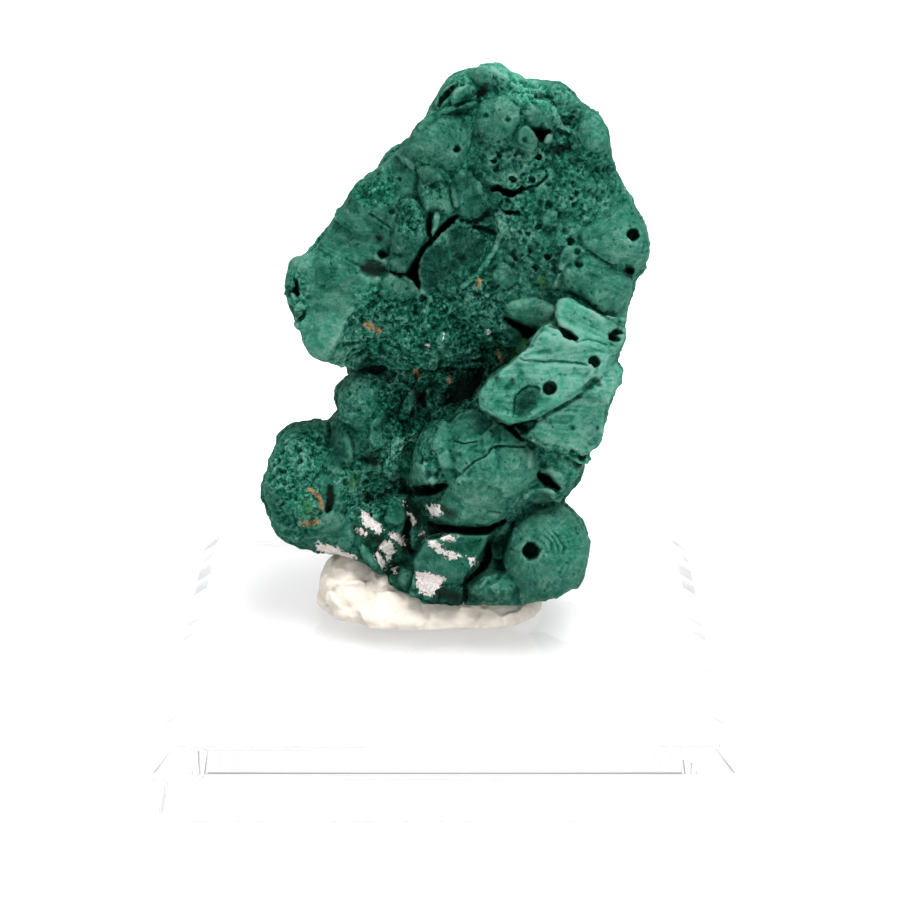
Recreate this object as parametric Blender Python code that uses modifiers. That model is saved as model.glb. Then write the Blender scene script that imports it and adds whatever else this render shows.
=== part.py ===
"""A malachite specimen held upright by a pad of white mineral putty on a clear bevelled block.

Three solids: block, putty_pad and malachite. Metres, +Z up, with the origin at the middle of the underside.

The stone's places were read from a square picture of its best side, 900 picture points wide, taken from EYE.
seen_at() takes such a place back to the stone: it follows the line of sight to the stone's upright middle
plane, and then comes back towards the eye by so many millimetres. Sizes and depths are real ones.
"""

import math

import bmesh
import bpy
import numpy as np
from mathutils import Matrix, Vector, noise

MM = 0.001

# Driving dimensions
BLOCK_SIDE = 50.8 * MM
BLOCK_THICK = 6.35 * MM
BLOCK_BEVEL = 2.0 * MM
STONE_PLANE_Y = 6.0 * MM
STONE_FOOT = BLOCK_THICK + 0.9 * MM
CONTACT_GAP = 0.3 * MM

# The eye that the stone's places were read from
EYE = Vector((0.5, -210.4, 108.45)) * MM
EYE_DIP = math.radians(21.7)
PICTURE_MIDDLE = 450
PICTURE_FOCAL = 2440

FORWARD = Vector((0, math.cos(EYE_DIP), -math.sin(EYE_DIP)))
UPWARD = Vector((0, math.sin(EYE_DIP), math.cos(EYE_DIP)))
RIGHTWARD = Vector((1, 0, 0))

# The stone's mesh
MASS_VOXEL = 0.42 * MM
STONE_TRIANGLES = 7400
PUTTY_VOXEL = 0.75 * MM
PUTTY_TRIANGLES = 700
BED_VOXEL = 0.6 * MM
BED_TRIANGLES = 4000
CLEFT_TOP = 11.5
RIM_REACH = 2.6 * MM
RIM_FACING = 0.55

# The stone's outline, clockwise from its top
OUTLINE = (
    (490, 66), (505, 68), (516, 73), (526, 80), (540, 82), (556, 83), (568, 90), (577, 99), (582, 108),
    (592, 112), (601, 120), (608, 133), (609, 148), (613, 160), (616, 176), (621, 187), (629, 199),
    (636, 213), (645, 231), (650, 248), (647, 261), (638, 269), (632, 282), (629, 298), (624, 316),
    (626, 332), (622, 346), (613, 356), (620, 368), (620, 382), (611, 396), (603, 410), (603, 430),
    (600, 444), (588, 452), (583, 466), (574, 482), (565, 495), (557, 503), (569, 510), (579, 521),
    (586, 538), (588, 553), (584, 572), (574, 587), (558, 597), (538, 602), (520, 608), (500, 612),
    (470, 612), (440, 608), (415, 602), (398, 594), (384, 580), (368, 565), (350, 557), (330, 551),
    (312, 549), (297, 544), (283, 537), (275, 527), (271, 513), (266, 499), (263, 488), (268, 474),
    (272, 457), (281, 439), (289, 430), (301, 425), (317, 420), (333, 422), (341, 418), (338, 403),
    (339, 391), (347, 379), (357, 369), (349, 366), (334, 364), (322, 360), (311, 357), (305, 346),
    (302, 332), (298, 325), (297, 313), (291, 302), (288, 288), (290, 272), (295, 260), (309, 253),
    (321, 243), (327, 228), (336, 216), (346, 203), (356, 190), (368, 177), (384, 163), (400, 149),
    (412, 136), (423, 121), (432, 105), (441, 88), (450, 78), (465, 72), (478, 67),
)

# Rounded masses: name, place, how far the crest stands out, radii across, up and out, and turn in degrees
MASSES = (
    ("crown", (505, 150), 4.6, (9.0, 7.2, 6.2), 0),
    ("brow", (440, 190), 4.8, (7.2, 8.2, 6.0), -35),
    ("right_shoulder", (575, 215), 4.6, (6.8, 9.2, 6.2), 8),
    ("heart", (500, 250), 4.6, (9.0, 9.0, 6.6), 0),
    ("left_shoulder", (380, 262), 4.0, (8.4, 7.0, 5.6), 20),
    ("left_cheek", (335, 305), 3.4, (4.4, 5.8, 4.6), 0),
    ("middle", (420, 315), 3.8, (9.0, 5.0, 5.6), 0),
    ("right_waist", (570, 310), 4.8, (5.6, 7.0, 6.2), 0),
    ("hollow_floor", (435, 385), 0.8, (8.5, 6.8, 4.2), 0),
    ("right_hip", (560, 405), 5.0, (4.8, 9.0, 6.2), -12),
    ("left_neck", (375, 425), 1.4, (4.6, 6.5, 4.2), 0),
    ("belly", (480, 475), 5.0, (7.2, 6.6, 6.2), 0),
    ("left_foot", (318, 487), 3.0, (5.4, 6.0, 5.2), 0),
    ("left_sole", (385, 525), 3.2, (7.5, 4.6, 5.6), 20),
    ("right_foot", (537, 553), 5.4, (4.9, 4.8, 5.8), 0),
    ("sole", (460, 562), 4.4, (7.0, 4.2, 5.8), 0),
    # What stands on those masses: the top
    ("cap", (492, 84), 4.0, (3.8, 1.9, 4.6), 0),
    ("cap_ridge_high", (515, 84), 5.8, (2.2, 0.8, 1.8), -35),
    ("cap_ridge_middle", (544, 102), 6.5, (2.6, 0.8, 1.8), -38),
    ("cap_ridge_low", (566, 127), 6.4, (2.0, 0.7, 1.6), -40),
    ("cap_right", (562, 97), 4.2, (2.6, 1.6, 3.4), -30),
    ("flap_high", (452, 92), 4.4, (2.2, 0.9, 2.6), 50),
    ("flap_middle", (464, 93), 5.2, (1.9, 0.9, 2.2), 35),
    ("flap_low", (455, 110), 5.8, (3.0, 0.8, 2.0), 28),
    ("rosette_left", (498, 119), 7.0, (2.3, 2.2, 2.4), 0),
    ("rosette_right", (538, 117), 6.9, (1.6, 2.0, 2.2), 0),
    ("knuckle", (528, 137), 7.4, (0.9, 1.5, 1.5), 15),
    ("temple", (592, 136), 5.6, (1.9, 2.6, 3.2), 0),
    ("smooth_brow", (444, 143), 6.8, (3.4, 3.0, 3.2), -20),
    # The left shoulder and its lobes round the black fissure
    ("arc_lobe", (431, 184), 6.9, (2.0, 3.0, 2.2), 5),
    ("petal_drop", (470, 194), 7.7, (2.2, 2.7, 2.4), 0),
    ("left_rim_high", (384, 192), 5.4, (3.4, 1.6, 3.0), 45),
    ("fan_high", (356, 237), 6.4, (3.5, 2.4, 2.6), 22),
    ("finger", (405, 243), 7.8, (1.6, 3.0, 2.4), -5),
    ("knife", (437, 228), 7.5, (0.5, 1.5, 1.6), 15),
    ("fan_left", (336, 270), 6.4, (2.9, 1.9, 2.4), -5),
    ("left_lip", (294, 290), 2.8, (0.7, 3.2, 2.4), 0),
    ("fan_low", (330, 325), 5.8, (3.1, 3.4, 2.8), 0),
    ("low_left_lobe", (400, 290), 6.2, (2.6, 1.6, 2.2), 0),
    ("sunk_dome", (452, 257), 5.7, (3.3, 3.2, 2.4), 40),
    # The weathered right side
    ("weathered_face", (555, 190), 6.0, (5.2, 6.2, 3.4), 0),
    ("ring_dome", (505, 276), 6.4, (1.3, 1.3, 1.2), 0),
    ("ring_rosette", (550, 219), 7.0, (1.2, 1.2, 1.0), 0),
    ("right_fan", (612, 240), 6.2, (3.2, 3.0, 3.4), 0),
    ("right_fan_low", (600, 286), 6.6, (3.0, 2.6, 3.4), 10),
    ("pod", (525, 312), 6.9, (1.9, 1.15, 2.0), 5),
    ("shallow_dome", (507, 333), 4.6, (1.3, 1.0, 1.4), 0),
    # The hollow's left edge
    ("mid_left_dome", (366, 398), 3.2, (2.8, 3.0, 3.0), 0),
    ("pale_plate", (375, 431), 3.8, (0.8, 1.4, 1.4), 0),
    ("rib", (395, 452), 4.8, (0.9, 2.4, 2.2), -12),
    ("foot_lobe", (300, 478), 4.6, (3.2, 4.2, 3.2), 0),
    ("fuzz_ball", (308, 508), 5.6, (1.3, 1.3, 1.2), 0),
    # The lower lobes
    ("great_lobe", (488, 458), 8.8, (4.6, 3.9, 3.4), -30),
    ("lobe_left", (440, 455), 8.0, (1.9, 2.6, 2.4), 0),
    ("great_lobe_low", (480, 502), 8.3, (4.2, 2.2, 3.0), 0),
    ("lobe_knob", (420, 473), 7.5, (1.3, 1.3, 1.8), 0),
    ("tube_lobe", (558, 468), 7.2, (2.5, 3.0, 3.4), -20),
    ("leaf", (538, 497), 7.6, (1.6, 0.8, 1.4), 5),
    ("disc", (546, 553), 9.2, (3.8, 4.3, 3.2), 0),
    ("disc_tail", (497, 586), 8.6, (2.6, 1.3, 2.6), 10),
    ("gusset", (512, 540), 6.6, (0.9, 2.4, 2.4), -15),
    ("smooth_slip", (396, 512), 5.4, (1.4, 2.0, 1.8), 0),
    ("leaf_low", (370, 558), 5.0, (2.0, 0.8, 1.6), -45),
    ("toe", (407, 580), 5.8, (1.5, 1.2, 1.8), 0),
    # The side that faces away
    ("back_crown", (520, 155), -0.4, (6.6, 5.2, 4.6), 0),
    ("back_left", (405, 250), -0.6, (5.6, 4.8, 4.4), 20),
    ("back_right", (575, 255), -0.4, (5.0, 6.2, 4.6), 0),
    ("back_middle", (480, 330), -0.6, (6.2, 5.2, 4.6), 0),
    ("back_low", (515, 430), -0.4, (5.4, 6.2, 4.6), 0),
    ("back_left_foot", (330, 480), -0.8, (3.8, 4.0, 3.4), 0),
    ("back_sole", (450, 540), 0.2, (5.6, 4.2, 4.6), 0),
)

# Broken plates: name, the corners with how far each stands out, and the thickness
PLATES = (
    ("high_plate", ((558, 301, 7.6), (570, 296, 8.0), (596, 313, 7.4), (619, 328, 5.8), (611, 337, 6.2),
                    (609, 348, 6.6), (592, 342, 7.8), (576, 341, 8.4), (562, 326, 8.4),
                    (556, 316, 8.0)), 4.0),
    ("broad_plate", ((542, 326, 8.8), (552, 323, 9.0), (576, 343, 8.8), (609, 351, 7.2), (614, 362, 6.4),
                     (600, 378, 7.8), (587, 388, 8.4), (561, 405, 9.2), (533, 419, 9.4), (508, 424, 8.8),
                     (488, 412, 8.2), (480, 408, 8.0), (479, 393, 8.2), (496, 375, 9.2), (518, 358, 9.6),
                     (529, 348, 9.4)), 5.0),
    ("low_plate", ((619, 366, 5.6), (613, 394, 5.6), (602, 412, 6.0), (602, 440, 5.8), (580, 452, 6.8),
                   (548, 450, 7.4), (524, 436, 7.8), (545, 418, 8.0), (566, 406, 8.0), (598, 382, 7.0)), 5.0),
    ("foot_plate", ((426, 542, 7.8), (450, 535, 8.4), (490, 535, 7.8), (483, 550, 8.2), (472, 567, 8.0),
                    (461, 582, 7.6), (438, 581, 7.4), (417, 573, 7.0), (412, 564, 7.2)), 4.0),
)

# Clefts that are cut: name, the places that they run through, the width, and how far out their floor stands
CLEFTS = (
    ("black_fissure", ((457, 217), (444, 229), (431, 241), (415, 261), (409, 274), (419, 289)), 0.95, 2.0),
    ("fissure_branch", ((387, 272), (398, 275), (408, 276)), 0.6, 3.2),
    ("knife_slot", ((431, 213), (430, 226), (431, 237)), 0.4, 4.6),
    ("face_slot", ((492, 190), (500, 187), (509, 191), (520, 190)), 0.65, 3.2),
    ("flap_groove", ((458, 84), (450, 91), (440, 102)), 0.45, 2.4),
    ("flap_groove_low", ((481, 90), (473, 97), (461, 102)), 0.45, 3.0),
    ("left_crevice", ((297, 276), (300, 290), (305, 303)), 0.5, 0.4),
    ("plate_seam", ((554, 291), (572, 294), (598, 313), (610, 319)), 0.35, 4.4),
    ("pod_gap", ((513, 325), (529, 333), (542, 324)), 0.8, 2.8),
    ("lobe_gap", ((500, 423), (514, 433), (526, 442)), 0.6, 3.6),
    ("knob_gap", ((401, 490), (418, 493), (438, 495)), 0.8, 3.0),
    ("under_lobe", ((428, 526), (452, 529), (474, 531), (489, 530), (503, 523)), 0.85, 2.6),
    ("beside_block", ((488, 538), (490, 555), (479, 568), (465, 578)), 0.85, 2.8),
    ("disc_seam", ((514, 516), (508, 535), (500, 557)), 0.4, 4.4),
)

# Hollows that are pressed: name, the places that they run through, the width, and the depth
HOLLOWS = (
    ("star_pit", ((366, 268), (380, 268)), 1.1, 1.3),
    ("knuckle_hole", ((534, 131), (540, 134), (545, 141)), 1.0, 2.4),
    ("soft_recess", ((554, 149), (562, 150), (571, 151)), 1.3, 1.6),
    ("plate_step", ((596, 381), (587, 388), (561, 405), (533, 419)), 0.6, 1.4),
    ("dark_hollow", ((452, 398), (464, 388), (474, 376)), 1.6, 2.2),
    ("dark_side_hole", ((368, 369), (380, 370)), 0.7, 1.4),
    ("foot_hollow", ((329, 490), (330, 504)), 0.9, 1.5),
)

# Worm-like round holes: name, mouth, how far the mouth stands out, radius, depth, and the lean of the bore
HOLES = (
    ("brow_pit", (457, 150), 6.8, 0.30, 1.4, (0.0, 0.0)),
    ("plate_hole", (550, 388), 9.2, 0.74, 4.0, (0.1, 0.0)),
    ("plate_edge_hole", (594, 361), 7.8, 0.52, 3.2, (-0.2, 0.1)),
    ("high_plate_hole", (570, 334), 8.6, 0.52, 3.0, (0.3, -0.2)),
    ("high_rim_hole", (613, 338), 6.2, 0.42, 2.4, (-0.4, 0.0)),
    ("low_rim_hole", (611, 376), 6.6, 0.46, 2.6, (-0.5, 0.0)),
    ("fan_hole", (633, 235), 5.0, 0.55, 3.0, (-0.6, 0.0)),
    ("disc_hole", (531, 551), 9.4, 0.76, 4.2, (0.0, 0.1)),
    ("tube_mouth", (549, 481), 8.0, 0.90, 3.6, (-0.5, 0.4)),
    ("side_hole", (580, 460), 5.8, 0.60, 3.0, (-0.7, 0.0)),
)

# Lumps of the putty pad: middle and radii, in millimetres from the block's middle and top
PUTTY_LUMPS = (
    ((-1.8, 5.4, 0.4), (10.7, 6.1, 2.9)),
    ((-8.4, 6.0, 1.6), (3.8, 4.6, 3.6)),
    ((4.6, 5.2, 0.5), (4.9, 5.4, 2.7)),
    ((-3.0, 8.2, 1.4), (7.2, 3.6, 3.8)),
)


def sight_line(place):
    """The direction in which EYE sees a picture place, one unit deep."""
    across = (place[0] - PICTURE_MIDDLE) / PICTURE_FOCAL
    up = (PICTURE_MIDDLE - place[1]) / PICTURE_FOCAL
    return FORWARD + across * RIGHTWARD + up * UPWARD


def seen_at(place, out):
    """The point that is seen at a picture place, out millimetres this side of the stone's middle plane."""
    line = sight_line(place)
    reach = (STONE_PLANE_Y - EYE.y) / line.y
    return EYE + line * reach - line.normalized() * out * MM


def picture_of(points):
    """Where EYE sees each point, in picture places, and how deep it lies."""
    away = points - np.array(EYE)
    depth = away @ np.array(FORWARD)
    across = PICTURE_MIDDLE + PICTURE_FOCAL * (away @ np.array(RIGHTWARD)) / depth
    down = PICTURE_MIDDLE - PICTURE_FOCAL * (away @ np.array(UPWARD)) / depth
    return np.column_stack([across, down]), depth


def segment_distance(places, start, end):
    """How far each place is from a straight run, the nearest place on it, and how far along that is."""
    start = np.array(start, float)
    run = np.array(end, float) - start
    along = np.clip(((places - start) @ run) / (run @ run), 0, 1)
    nearest = start + along[:, None] * run
    return np.linalg.norm(places - nearest, axis=1), nearest, along


def nearest_on_outline(places):
    """The outline place nearest to each place, and whether each place is inside the outline."""
    best = np.full(len(places), np.inf)
    nearest = np.zeros_like(places)
    inside = np.zeros(len(places), bool)
    for start, end in zip(OUTLINE, OUTLINE[1:] + OUTLINE[:1]):
        distance, point, _ = segment_distance(places, start, end)
        closer = distance < best
        best[closer] = distance[closer]
        nearest[closer] = point[closer]
        spans = (start[1] > places[:, 1]) != (end[1] > places[:, 1])
        rise = (end[1] - start[1]) or 1e-9
        crossing = start[0] + (places[:, 1] - start[1]) * (end[0] - start[0]) / rise
        inside ^= spans & (places[:, 0] < crossing)
    return nearest, inside


def smooth_step(low, high, value):
    """0 below low, 1 above high, and an easy curve between."""
    share = np.clip((value - low) / (high - low), 0, 1)
    return share * share * (3 - 2 * share)


def points_of(mesh):
    """The mesh's points as an array."""
    flat = np.empty(len(mesh.vertices) * 3, np.float32)
    mesh.vertices.foreach_get("co", flat)
    return flat.reshape(-1, 3).astype(float)


def normals_of(mesh):
    """The mesh's point normals as an array."""
    flat = np.empty(len(mesh.vertices) * 3, np.float32)
    mesh.vertices.foreach_get("normal", flat)
    return flat.reshape(-1, 3).astype(float)


def move_points(mesh, points):
    """Puts the mesh's points at these places."""
    mesh.vertices.foreach_set("co", points.astype(np.float32).ravel())
    mesh.update()


def turned_to_eye(turn):
    """The rotation that takes across, up and out to the eye's own directions, turned in the picture."""
    axes = Matrix((RIGHTWARD, UPWARD, -FORWARD)).transposed()
    return axes @ Matrix.Rotation(math.radians(turn), 3, "Z")


def add_mass(mesh, place, crest, radii, turn):
    """One rounded mass whose crest is seen at a picture place."""
    middle = seen_at(place, crest - radii[2])
    size = Matrix.Diagonal(Vector(radii) * MM)
    shape = (turned_to_eye(turn) @ size).to_4x4()
    shape.translation = middle
    bmesh.ops.create_icosphere(mesh, subdivisions=4, radius=1, matrix=shape)


def add_plate(mesh, corners, thickness):
    """One broken plate: the outline that its corners give, carried back into the stone."""
    front = [mesh.verts.new(seen_at(corner[:2], corner[2])) for corner in corners]
    face = mesh.faces.new(front)
    back = bmesh.ops.extrude_face_region(mesh, geom=[face])["geom"]
    moved = [item for item in back if isinstance(item, bmesh.types.BMVert)]
    bmesh.ops.translate(mesh, verts=moved, vec=FORWARD * thickness * MM)
    walls = {wall for vert in front + moved for wall in vert.link_faces}
    bmesh.ops.recalc_face_normals(mesh, faces=list(walls))


def new_object(name, mesh_or_bmesh, collection):
    """An object in a collection, from a mesh or a bmesh."""
    if isinstance(mesh_or_bmesh, bmesh.types.BMesh):
        mesh = bpy.data.meshes.new(name)
        mesh_or_bmesh.to_mesh(mesh)
        mesh_or_bmesh.free()
    else:
        mesh = mesh_or_bmesh
    made = bpy.data.objects.new(name, mesh)
    collection.objects.link(made)
    return made


def apply_modifiers(thing):
    """Makes the object's evaluated mesh its own, and drops its modifiers."""
    bpy.context.view_layer.update()
    graph = bpy.context.evaluated_depsgraph_get()
    mesh = bpy.data.meshes.new_from_object(thing.evaluated_get(graph))
    thing.modifiers.clear()
    thing.data = mesh


def add_remesh(thing, voxel):
    """Joins overlapping shells into one skin of even squares."""
    remesh = thing.modifiers.new("one_skin", "REMESH")
    remesh.mode = "VOXEL"
    remesh.voxel_size = voxel


def add_smooth(thing, factor, repeats):
    """Eases the skin's steps."""
    smooth = thing.modifiers.new("ease", "SMOOTH")
    smooth.factor = factor
    smooth.iterations = repeats


def add_decimate(thing, triangles):
    """Thins the mesh to about so many triangles, keeping its creases."""
    thing.data.calc_loop_triangles()
    decimate = thing.modifiers.new("thin", "DECIMATE")
    decimate.ratio = min(1.0, triangles / len(thing.data.loop_triangles))
    decimate.use_collapse_triangulate = True


def draw_rim_to_outline(mesh):
    """Moves what stands outside the outline onto it, and draws the rim that falls short out to it."""
    points = points_of(mesh)
    facing = np.abs(normals_of(mesh) @ np.array(FORWARD))
    places, depth = picture_of(points)
    nearest, inside = nearest_on_outline(places)
    shift = nearest - places
    reach = np.linalg.norm(shift, axis=1) * depth / PICTURE_FOCAL
    rim = 1 - smooth_step(0.15, RIM_FACING, facing)
    rim *= 1 - smooth_step(0.6 * RIM_REACH, RIM_REACH, reach)
    share = np.where(inside, rim, 1.0)
    step = shift * (share * depth / PICTURE_FOCAL)[:, None]
    points += step[:, :1] * np.array(RIGHTWARD) - step[:, 1:] * np.array(UPWARD)
    move_points(mesh, points)


def press_hollows(mesh):
    """Presses each hollow into the side that faces the eye."""
    points = points_of(mesh)
    facing = normals_of(mesh) @ -np.array(FORWARD)
    places, depth = picture_of(points)
    to_mm = depth / PICTURE_FOCAL / MM
    press = np.zeros(len(points))
    for _, run, width, deep in HOLLOWS:
        nearest = np.full(len(points), np.inf)
        for start, end in zip(run, run[1:]):
            nearest = np.minimum(nearest, segment_distance(places, start, end)[0] * to_mm)
        press = np.maximum(press, deep * (1 - smooth_step(0.25 * width, 0.9 * width, nearest)))
    press *= smooth_step(0.0, 0.3, facing) * MM
    points += press[:, None] * np.array(FORWARD)
    move_points(mesh, points)


def roughen(mesh, size, height):
    """Breaks up the skin with lumps of one size."""
    points = points_of(mesh)
    normals = normals_of(mesh)
    lumps = np.array([noise.noise(Vector(point) / size) for point in points])
    move_points(mesh, points + normals * (lumps * height)[:, None])


def stand_on_foot(mesh):
    """Flattens what would reach below the stone's foot."""
    points = points_of(mesh)
    points[:, 2] = np.maximum(points[:, 2], STONE_FOOT)
    move_points(mesh, points)


def cleft_cutter(run, width, floor):
    """A ribbon that tapers to its ends and to its floor, and stands clear of the stone's face."""
    run = [Vector(place) for place in run]
    ribbon = bmesh.new()
    rings = []
    for index, place in enumerate(run):
        ahead = (run[min(index + 1, len(run) - 1)] - run[max(index - 1, 0)]).normalized()
        across = Vector((-ahead.y, ahead.x))
        wide = 0.25 if index in (0, len(run) - 1) else 1.0
        half = across * (wide * width * MM * PICTURE_FOCAL / 2 / (STONE_PLANE_Y - EYE.y))
        shares = ((1, CLEFT_TOP), (-1, CLEFT_TOP), (-0.3, floor), (0.3, floor))
        rings.append([ribbon.verts.new(seen_at(place + half * share, out)) for share, out in shares])
    for ring, following in zip(rings, rings[1:]):
        for side in range(4):
            other = (side + 1) % 4
            ribbon.faces.new((ring[side], ring[other], following[other], following[side]))
    ribbon.faces.new(rings[0])
    ribbon.faces.new(rings[-1])
    bmesh.ops.recalc_face_normals(ribbon, faces=ribbon.faces[:])
    return ribbon


def hole_cutter(mouth, out, radius, deep, lean):
    """A round bore that starts a little above the surface and runs into the stone."""
    start = seen_at(mouth, out + 1.2)
    line = (FORWARD + lean[0] * RIGHTWARD + lean[1] * UPWARD).normalized()
    length = (deep + 1.2) * MM
    turn = line.to_track_quat("Z", "Y").to_matrix().to_4x4()
    turn.translation = start + line * length / 2
    bore = bmesh.new()
    bmesh.ops.create_cone(
        bore, cap_ends=True, segments=10, radius1=radius * MM, radius2=0.7 * radius * MM,
        depth=length, matrix=turn,
    )
    return bore


def take_away(thing, name, shape, cutters):
    """Cuts a shape out of the object."""
    cutter = new_object("cut_" + name, shape, cutters)
    cutter.hide_render = True
    cutter.display_type = "WIRE"
    cut = thing.modifiers.new(name, "BOOLEAN")
    cut.operation = "DIFFERENCE"
    cut.solver = "EXACT"
    cut.object = cutter


def stone(collection, cutters, material):
    """The whole malachite, grown as one piece."""
    body = bmesh.new()
    for _, place, crest, radii, turn in MASSES:
        add_mass(body, place, crest, radii, turn)
    for _, corners, thickness in PLATES:
        add_plate(body, corners, thickness)
    made = new_object("malachite", body, collection)
    add_remesh(made, MASS_VOXEL)
    add_smooth(made, 0.5, 2)
    apply_modifiers(made)
    for _ in range(2):
        draw_rim_to_outline(made.data)
    roughen(made.data, 2.4 * MM, 0.5 * MM)
    roughen(made.data, 0.9 * MM, 0.16 * MM)
    press_hollows(made.data)
    stand_on_foot(made.data)
    add_remesh(made, 0.85 * MASS_VOXEL)
    apply_modifiers(made)
    add_decimate(made, STONE_TRIANGLES)
    apply_modifiers(made)
    for name, run, width, floor in CLEFTS:
        take_away(made, name, cleft_cutter(run, width, floor), cutters)
    for name, mouth, out, radius, deep, lean in HOLES:
        take_away(made, name, hole_cutter(mouth, out, radius, deep, lean), cutters)
    made.data.materials.append(material)
    return made


def stone_with_gap(thing, cutters):
    """The stone grown by the contact gap, to cut its bed in the putty."""
    cutter = new_object("cut_bed", thing.data.copy(), cutters)
    grow = cutter.modifiers.new("gap", "DISPLACE")
    grow.mid_level = 0
    grow.strength = 1.9 * CONTACT_GAP
    add_remesh(cutter, BED_VOXEL)
    apply_modifiers(cutter)
    add_decimate(cutter, BED_TRIANGLES)
    apply_modifiers(cutter)
    cutter.hide_render = True
    cutter.display_type = "WIRE"
    return cutter


def putty_pad(collection, bed, material):
    """A pressed pad of mineral putty, flat below, with the stone's bed in its top."""
    lumps = bmesh.new()
    for middle, radii in PUTTY_LUMPS:
        shape = Matrix.Diagonal(Vector(radii) * MM).to_4x4()
        shape.translation = Vector(middle) * MM + Vector((0, 0, BLOCK_THICK))
        bmesh.ops.create_icosphere(lumps, subdivisions=4, radius=1, matrix=shape)
    made = new_object("putty_pad", lumps, collection)
    add_remesh(made, PUTTY_VOXEL)
    apply_modifiers(made)
    roughen(made.data, 3.0 * MM, 0.7 * MM)
    points = points_of(made.data)
    points[:, 2] = np.maximum(points[:, 2], BLOCK_THICK + CONTACT_GAP)
    move_points(made.data, points)
    add_decimate(made, PUTTY_TRIANGLES)
    apply_modifiers(made)
    cut = made.modifiers.new("bed", "BOOLEAN")
    cut.operation = "DIFFERENCE"
    cut.solver = "EXACT"
    cut.object = bed
    made.data.materials.append(material)
    return made


def block(collection, material):
    """The clear block: square, with its top edges bevelled."""
    box = bmesh.new()
    size = Matrix.Diagonal((BLOCK_SIDE, BLOCK_SIDE, BLOCK_THICK)).to_4x4()
    size.translation = Vector((0, 0, BLOCK_THICK / 2))
    bmesh.ops.create_cube(box, size=1, matrix=size)
    top = [e for e in box.edges if min(v.co.z for v in e.verts) > BLOCK_THICK * 0.99]
    bmesh.ops.bevel(box, geom=top, offset=BLOCK_BEVEL, segments=1, profile=0.5, affect="EDGES", material=-1)
    made = new_object("block", box, collection)
    made.data.materials.append(material)
    return made


def finish(name, colour, roughness, transmission=0.0):
    """A plain material with the part's colour."""
    made = bpy.data.materials.new(name)
    made.use_nodes = True
    shader = made.node_tree.nodes["Principled BSDF"]
    shader.inputs["Base Color"].default_value = (*colour, 1)
    shader.inputs["Roughness"].default_value = roughness
    shader.inputs["Metallic"].default_value = 0
    shader.inputs["Transmission Weight"].default_value = transmission
    return made


def new_collection(name):
    """A collection in the scene."""
    made = bpy.data.collections.new(name)
    bpy.context.scene.collection.children.link(made)
    return made


def main():
    for old in list(bpy.data.objects):
        bpy.data.objects.remove(old)
    parts = new_collection("malachite_specimen")
    cutters = new_collection("cutters")
    block(parts, finish("clear_acrylic", (0.95, 0.97, 0.97), 0.03, 1.0))
    malachite = stone(parts, cutters, finish("malachite_green", (0.05, 0.28, 0.17), 0.6))
    bed = stone_with_gap(malachite, cutters)
    putty_pad(parts, bed, finish("mineral_putty", (0.86, 0.82, 0.77), 0.85))


main()
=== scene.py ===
import math

import bmesh
import bpy
import numpy as np
from mathutils import Matrix, Vector


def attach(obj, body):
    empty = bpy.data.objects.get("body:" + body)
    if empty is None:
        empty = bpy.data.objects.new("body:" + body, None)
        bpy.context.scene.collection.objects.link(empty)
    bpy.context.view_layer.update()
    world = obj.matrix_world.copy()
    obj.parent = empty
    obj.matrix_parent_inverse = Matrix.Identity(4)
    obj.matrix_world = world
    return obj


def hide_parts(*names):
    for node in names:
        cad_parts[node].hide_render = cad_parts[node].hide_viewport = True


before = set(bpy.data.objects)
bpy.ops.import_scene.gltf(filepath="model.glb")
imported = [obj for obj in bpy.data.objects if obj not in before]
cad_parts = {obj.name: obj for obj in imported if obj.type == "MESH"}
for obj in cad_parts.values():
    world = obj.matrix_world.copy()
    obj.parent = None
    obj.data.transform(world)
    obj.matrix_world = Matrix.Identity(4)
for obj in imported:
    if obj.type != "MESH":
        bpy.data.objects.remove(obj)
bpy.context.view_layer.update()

MM = 0.001

# The stone's places are picture places, seen from EYE, as in the part's source
EYE = Vector((0.5, -210.4, 108.45)) * MM
EYE_DIP = math.radians(21.7)
PICTURE_SIZE = 900
PICTURE_MIDDLE = PICTURE_SIZE / 2
PICTURE_FOCAL = 2440
SENSOR_WIDTH = 36
POINTS_PER_MM = 10.75
FORWARD = Vector((0, math.cos(EYE_DIP), -math.sin(EYE_DIP)))
UPWARD = Vector((0, math.sin(EYE_DIP), math.cos(EYE_DIP)))
RIGHTWARD = Vector((1, 0, 0))

BLOCK_SIDE = 50.8 * MM
BLOCK_TOP = 6.35 * MM
BLOCK_BEVEL = 2.0 * MM
BLOCK_SOFTNESS = 0.4 * MM

# The stone: its middle plane, its lowest point, the squares of its skin, and how far its rim may be moved
STONE_PLANE_Y = 6.0 * MM
STONE_FOOT = BLOCK_TOP + 0.9 * MM
COARSE_VOXEL = 0.2 * MM
FINE_VOXEL = 0.15 * MM
STONE_TRIANGLES = 190000
RIM_REACH = 2.6 * MM
RIM_FACING = 0.55

# Lumps on the whole stone and on the putty: size, pattern number and height, in millimetres
STONE_LUMPS = ((2.4, 1, 0.16), (1.1, 2, 0.08))
PUTTY_FOLDS = ((3.2, 31, 0.40), (0.8, 33, 0.10), (0.4, 36, 0.05))

# How drawn edges stray: how far in picture points, the lumps' size in millimetres, and the pattern number
WANDER = ((1.2, 1.9, 40), (0.6, 0.7, 42))

# Width of the fibres, and of the small domes that cover the back, in millimetres
FIBRE_WIDTH = 0.22
BACK_DOME = 3.4
BACK_SMALL_DOME = 1.5

# Picture places: the shelves of the low left lobe, and the hole that the low right lobe's rings go round
SHELF_MIDDLE = (292.0, 465.0)
SHELF_REACH = 58
SHELF_STEP = 1.1
RING_MIDDLE = (531.0, 552.0)
RING_STEP = 6.0

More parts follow.
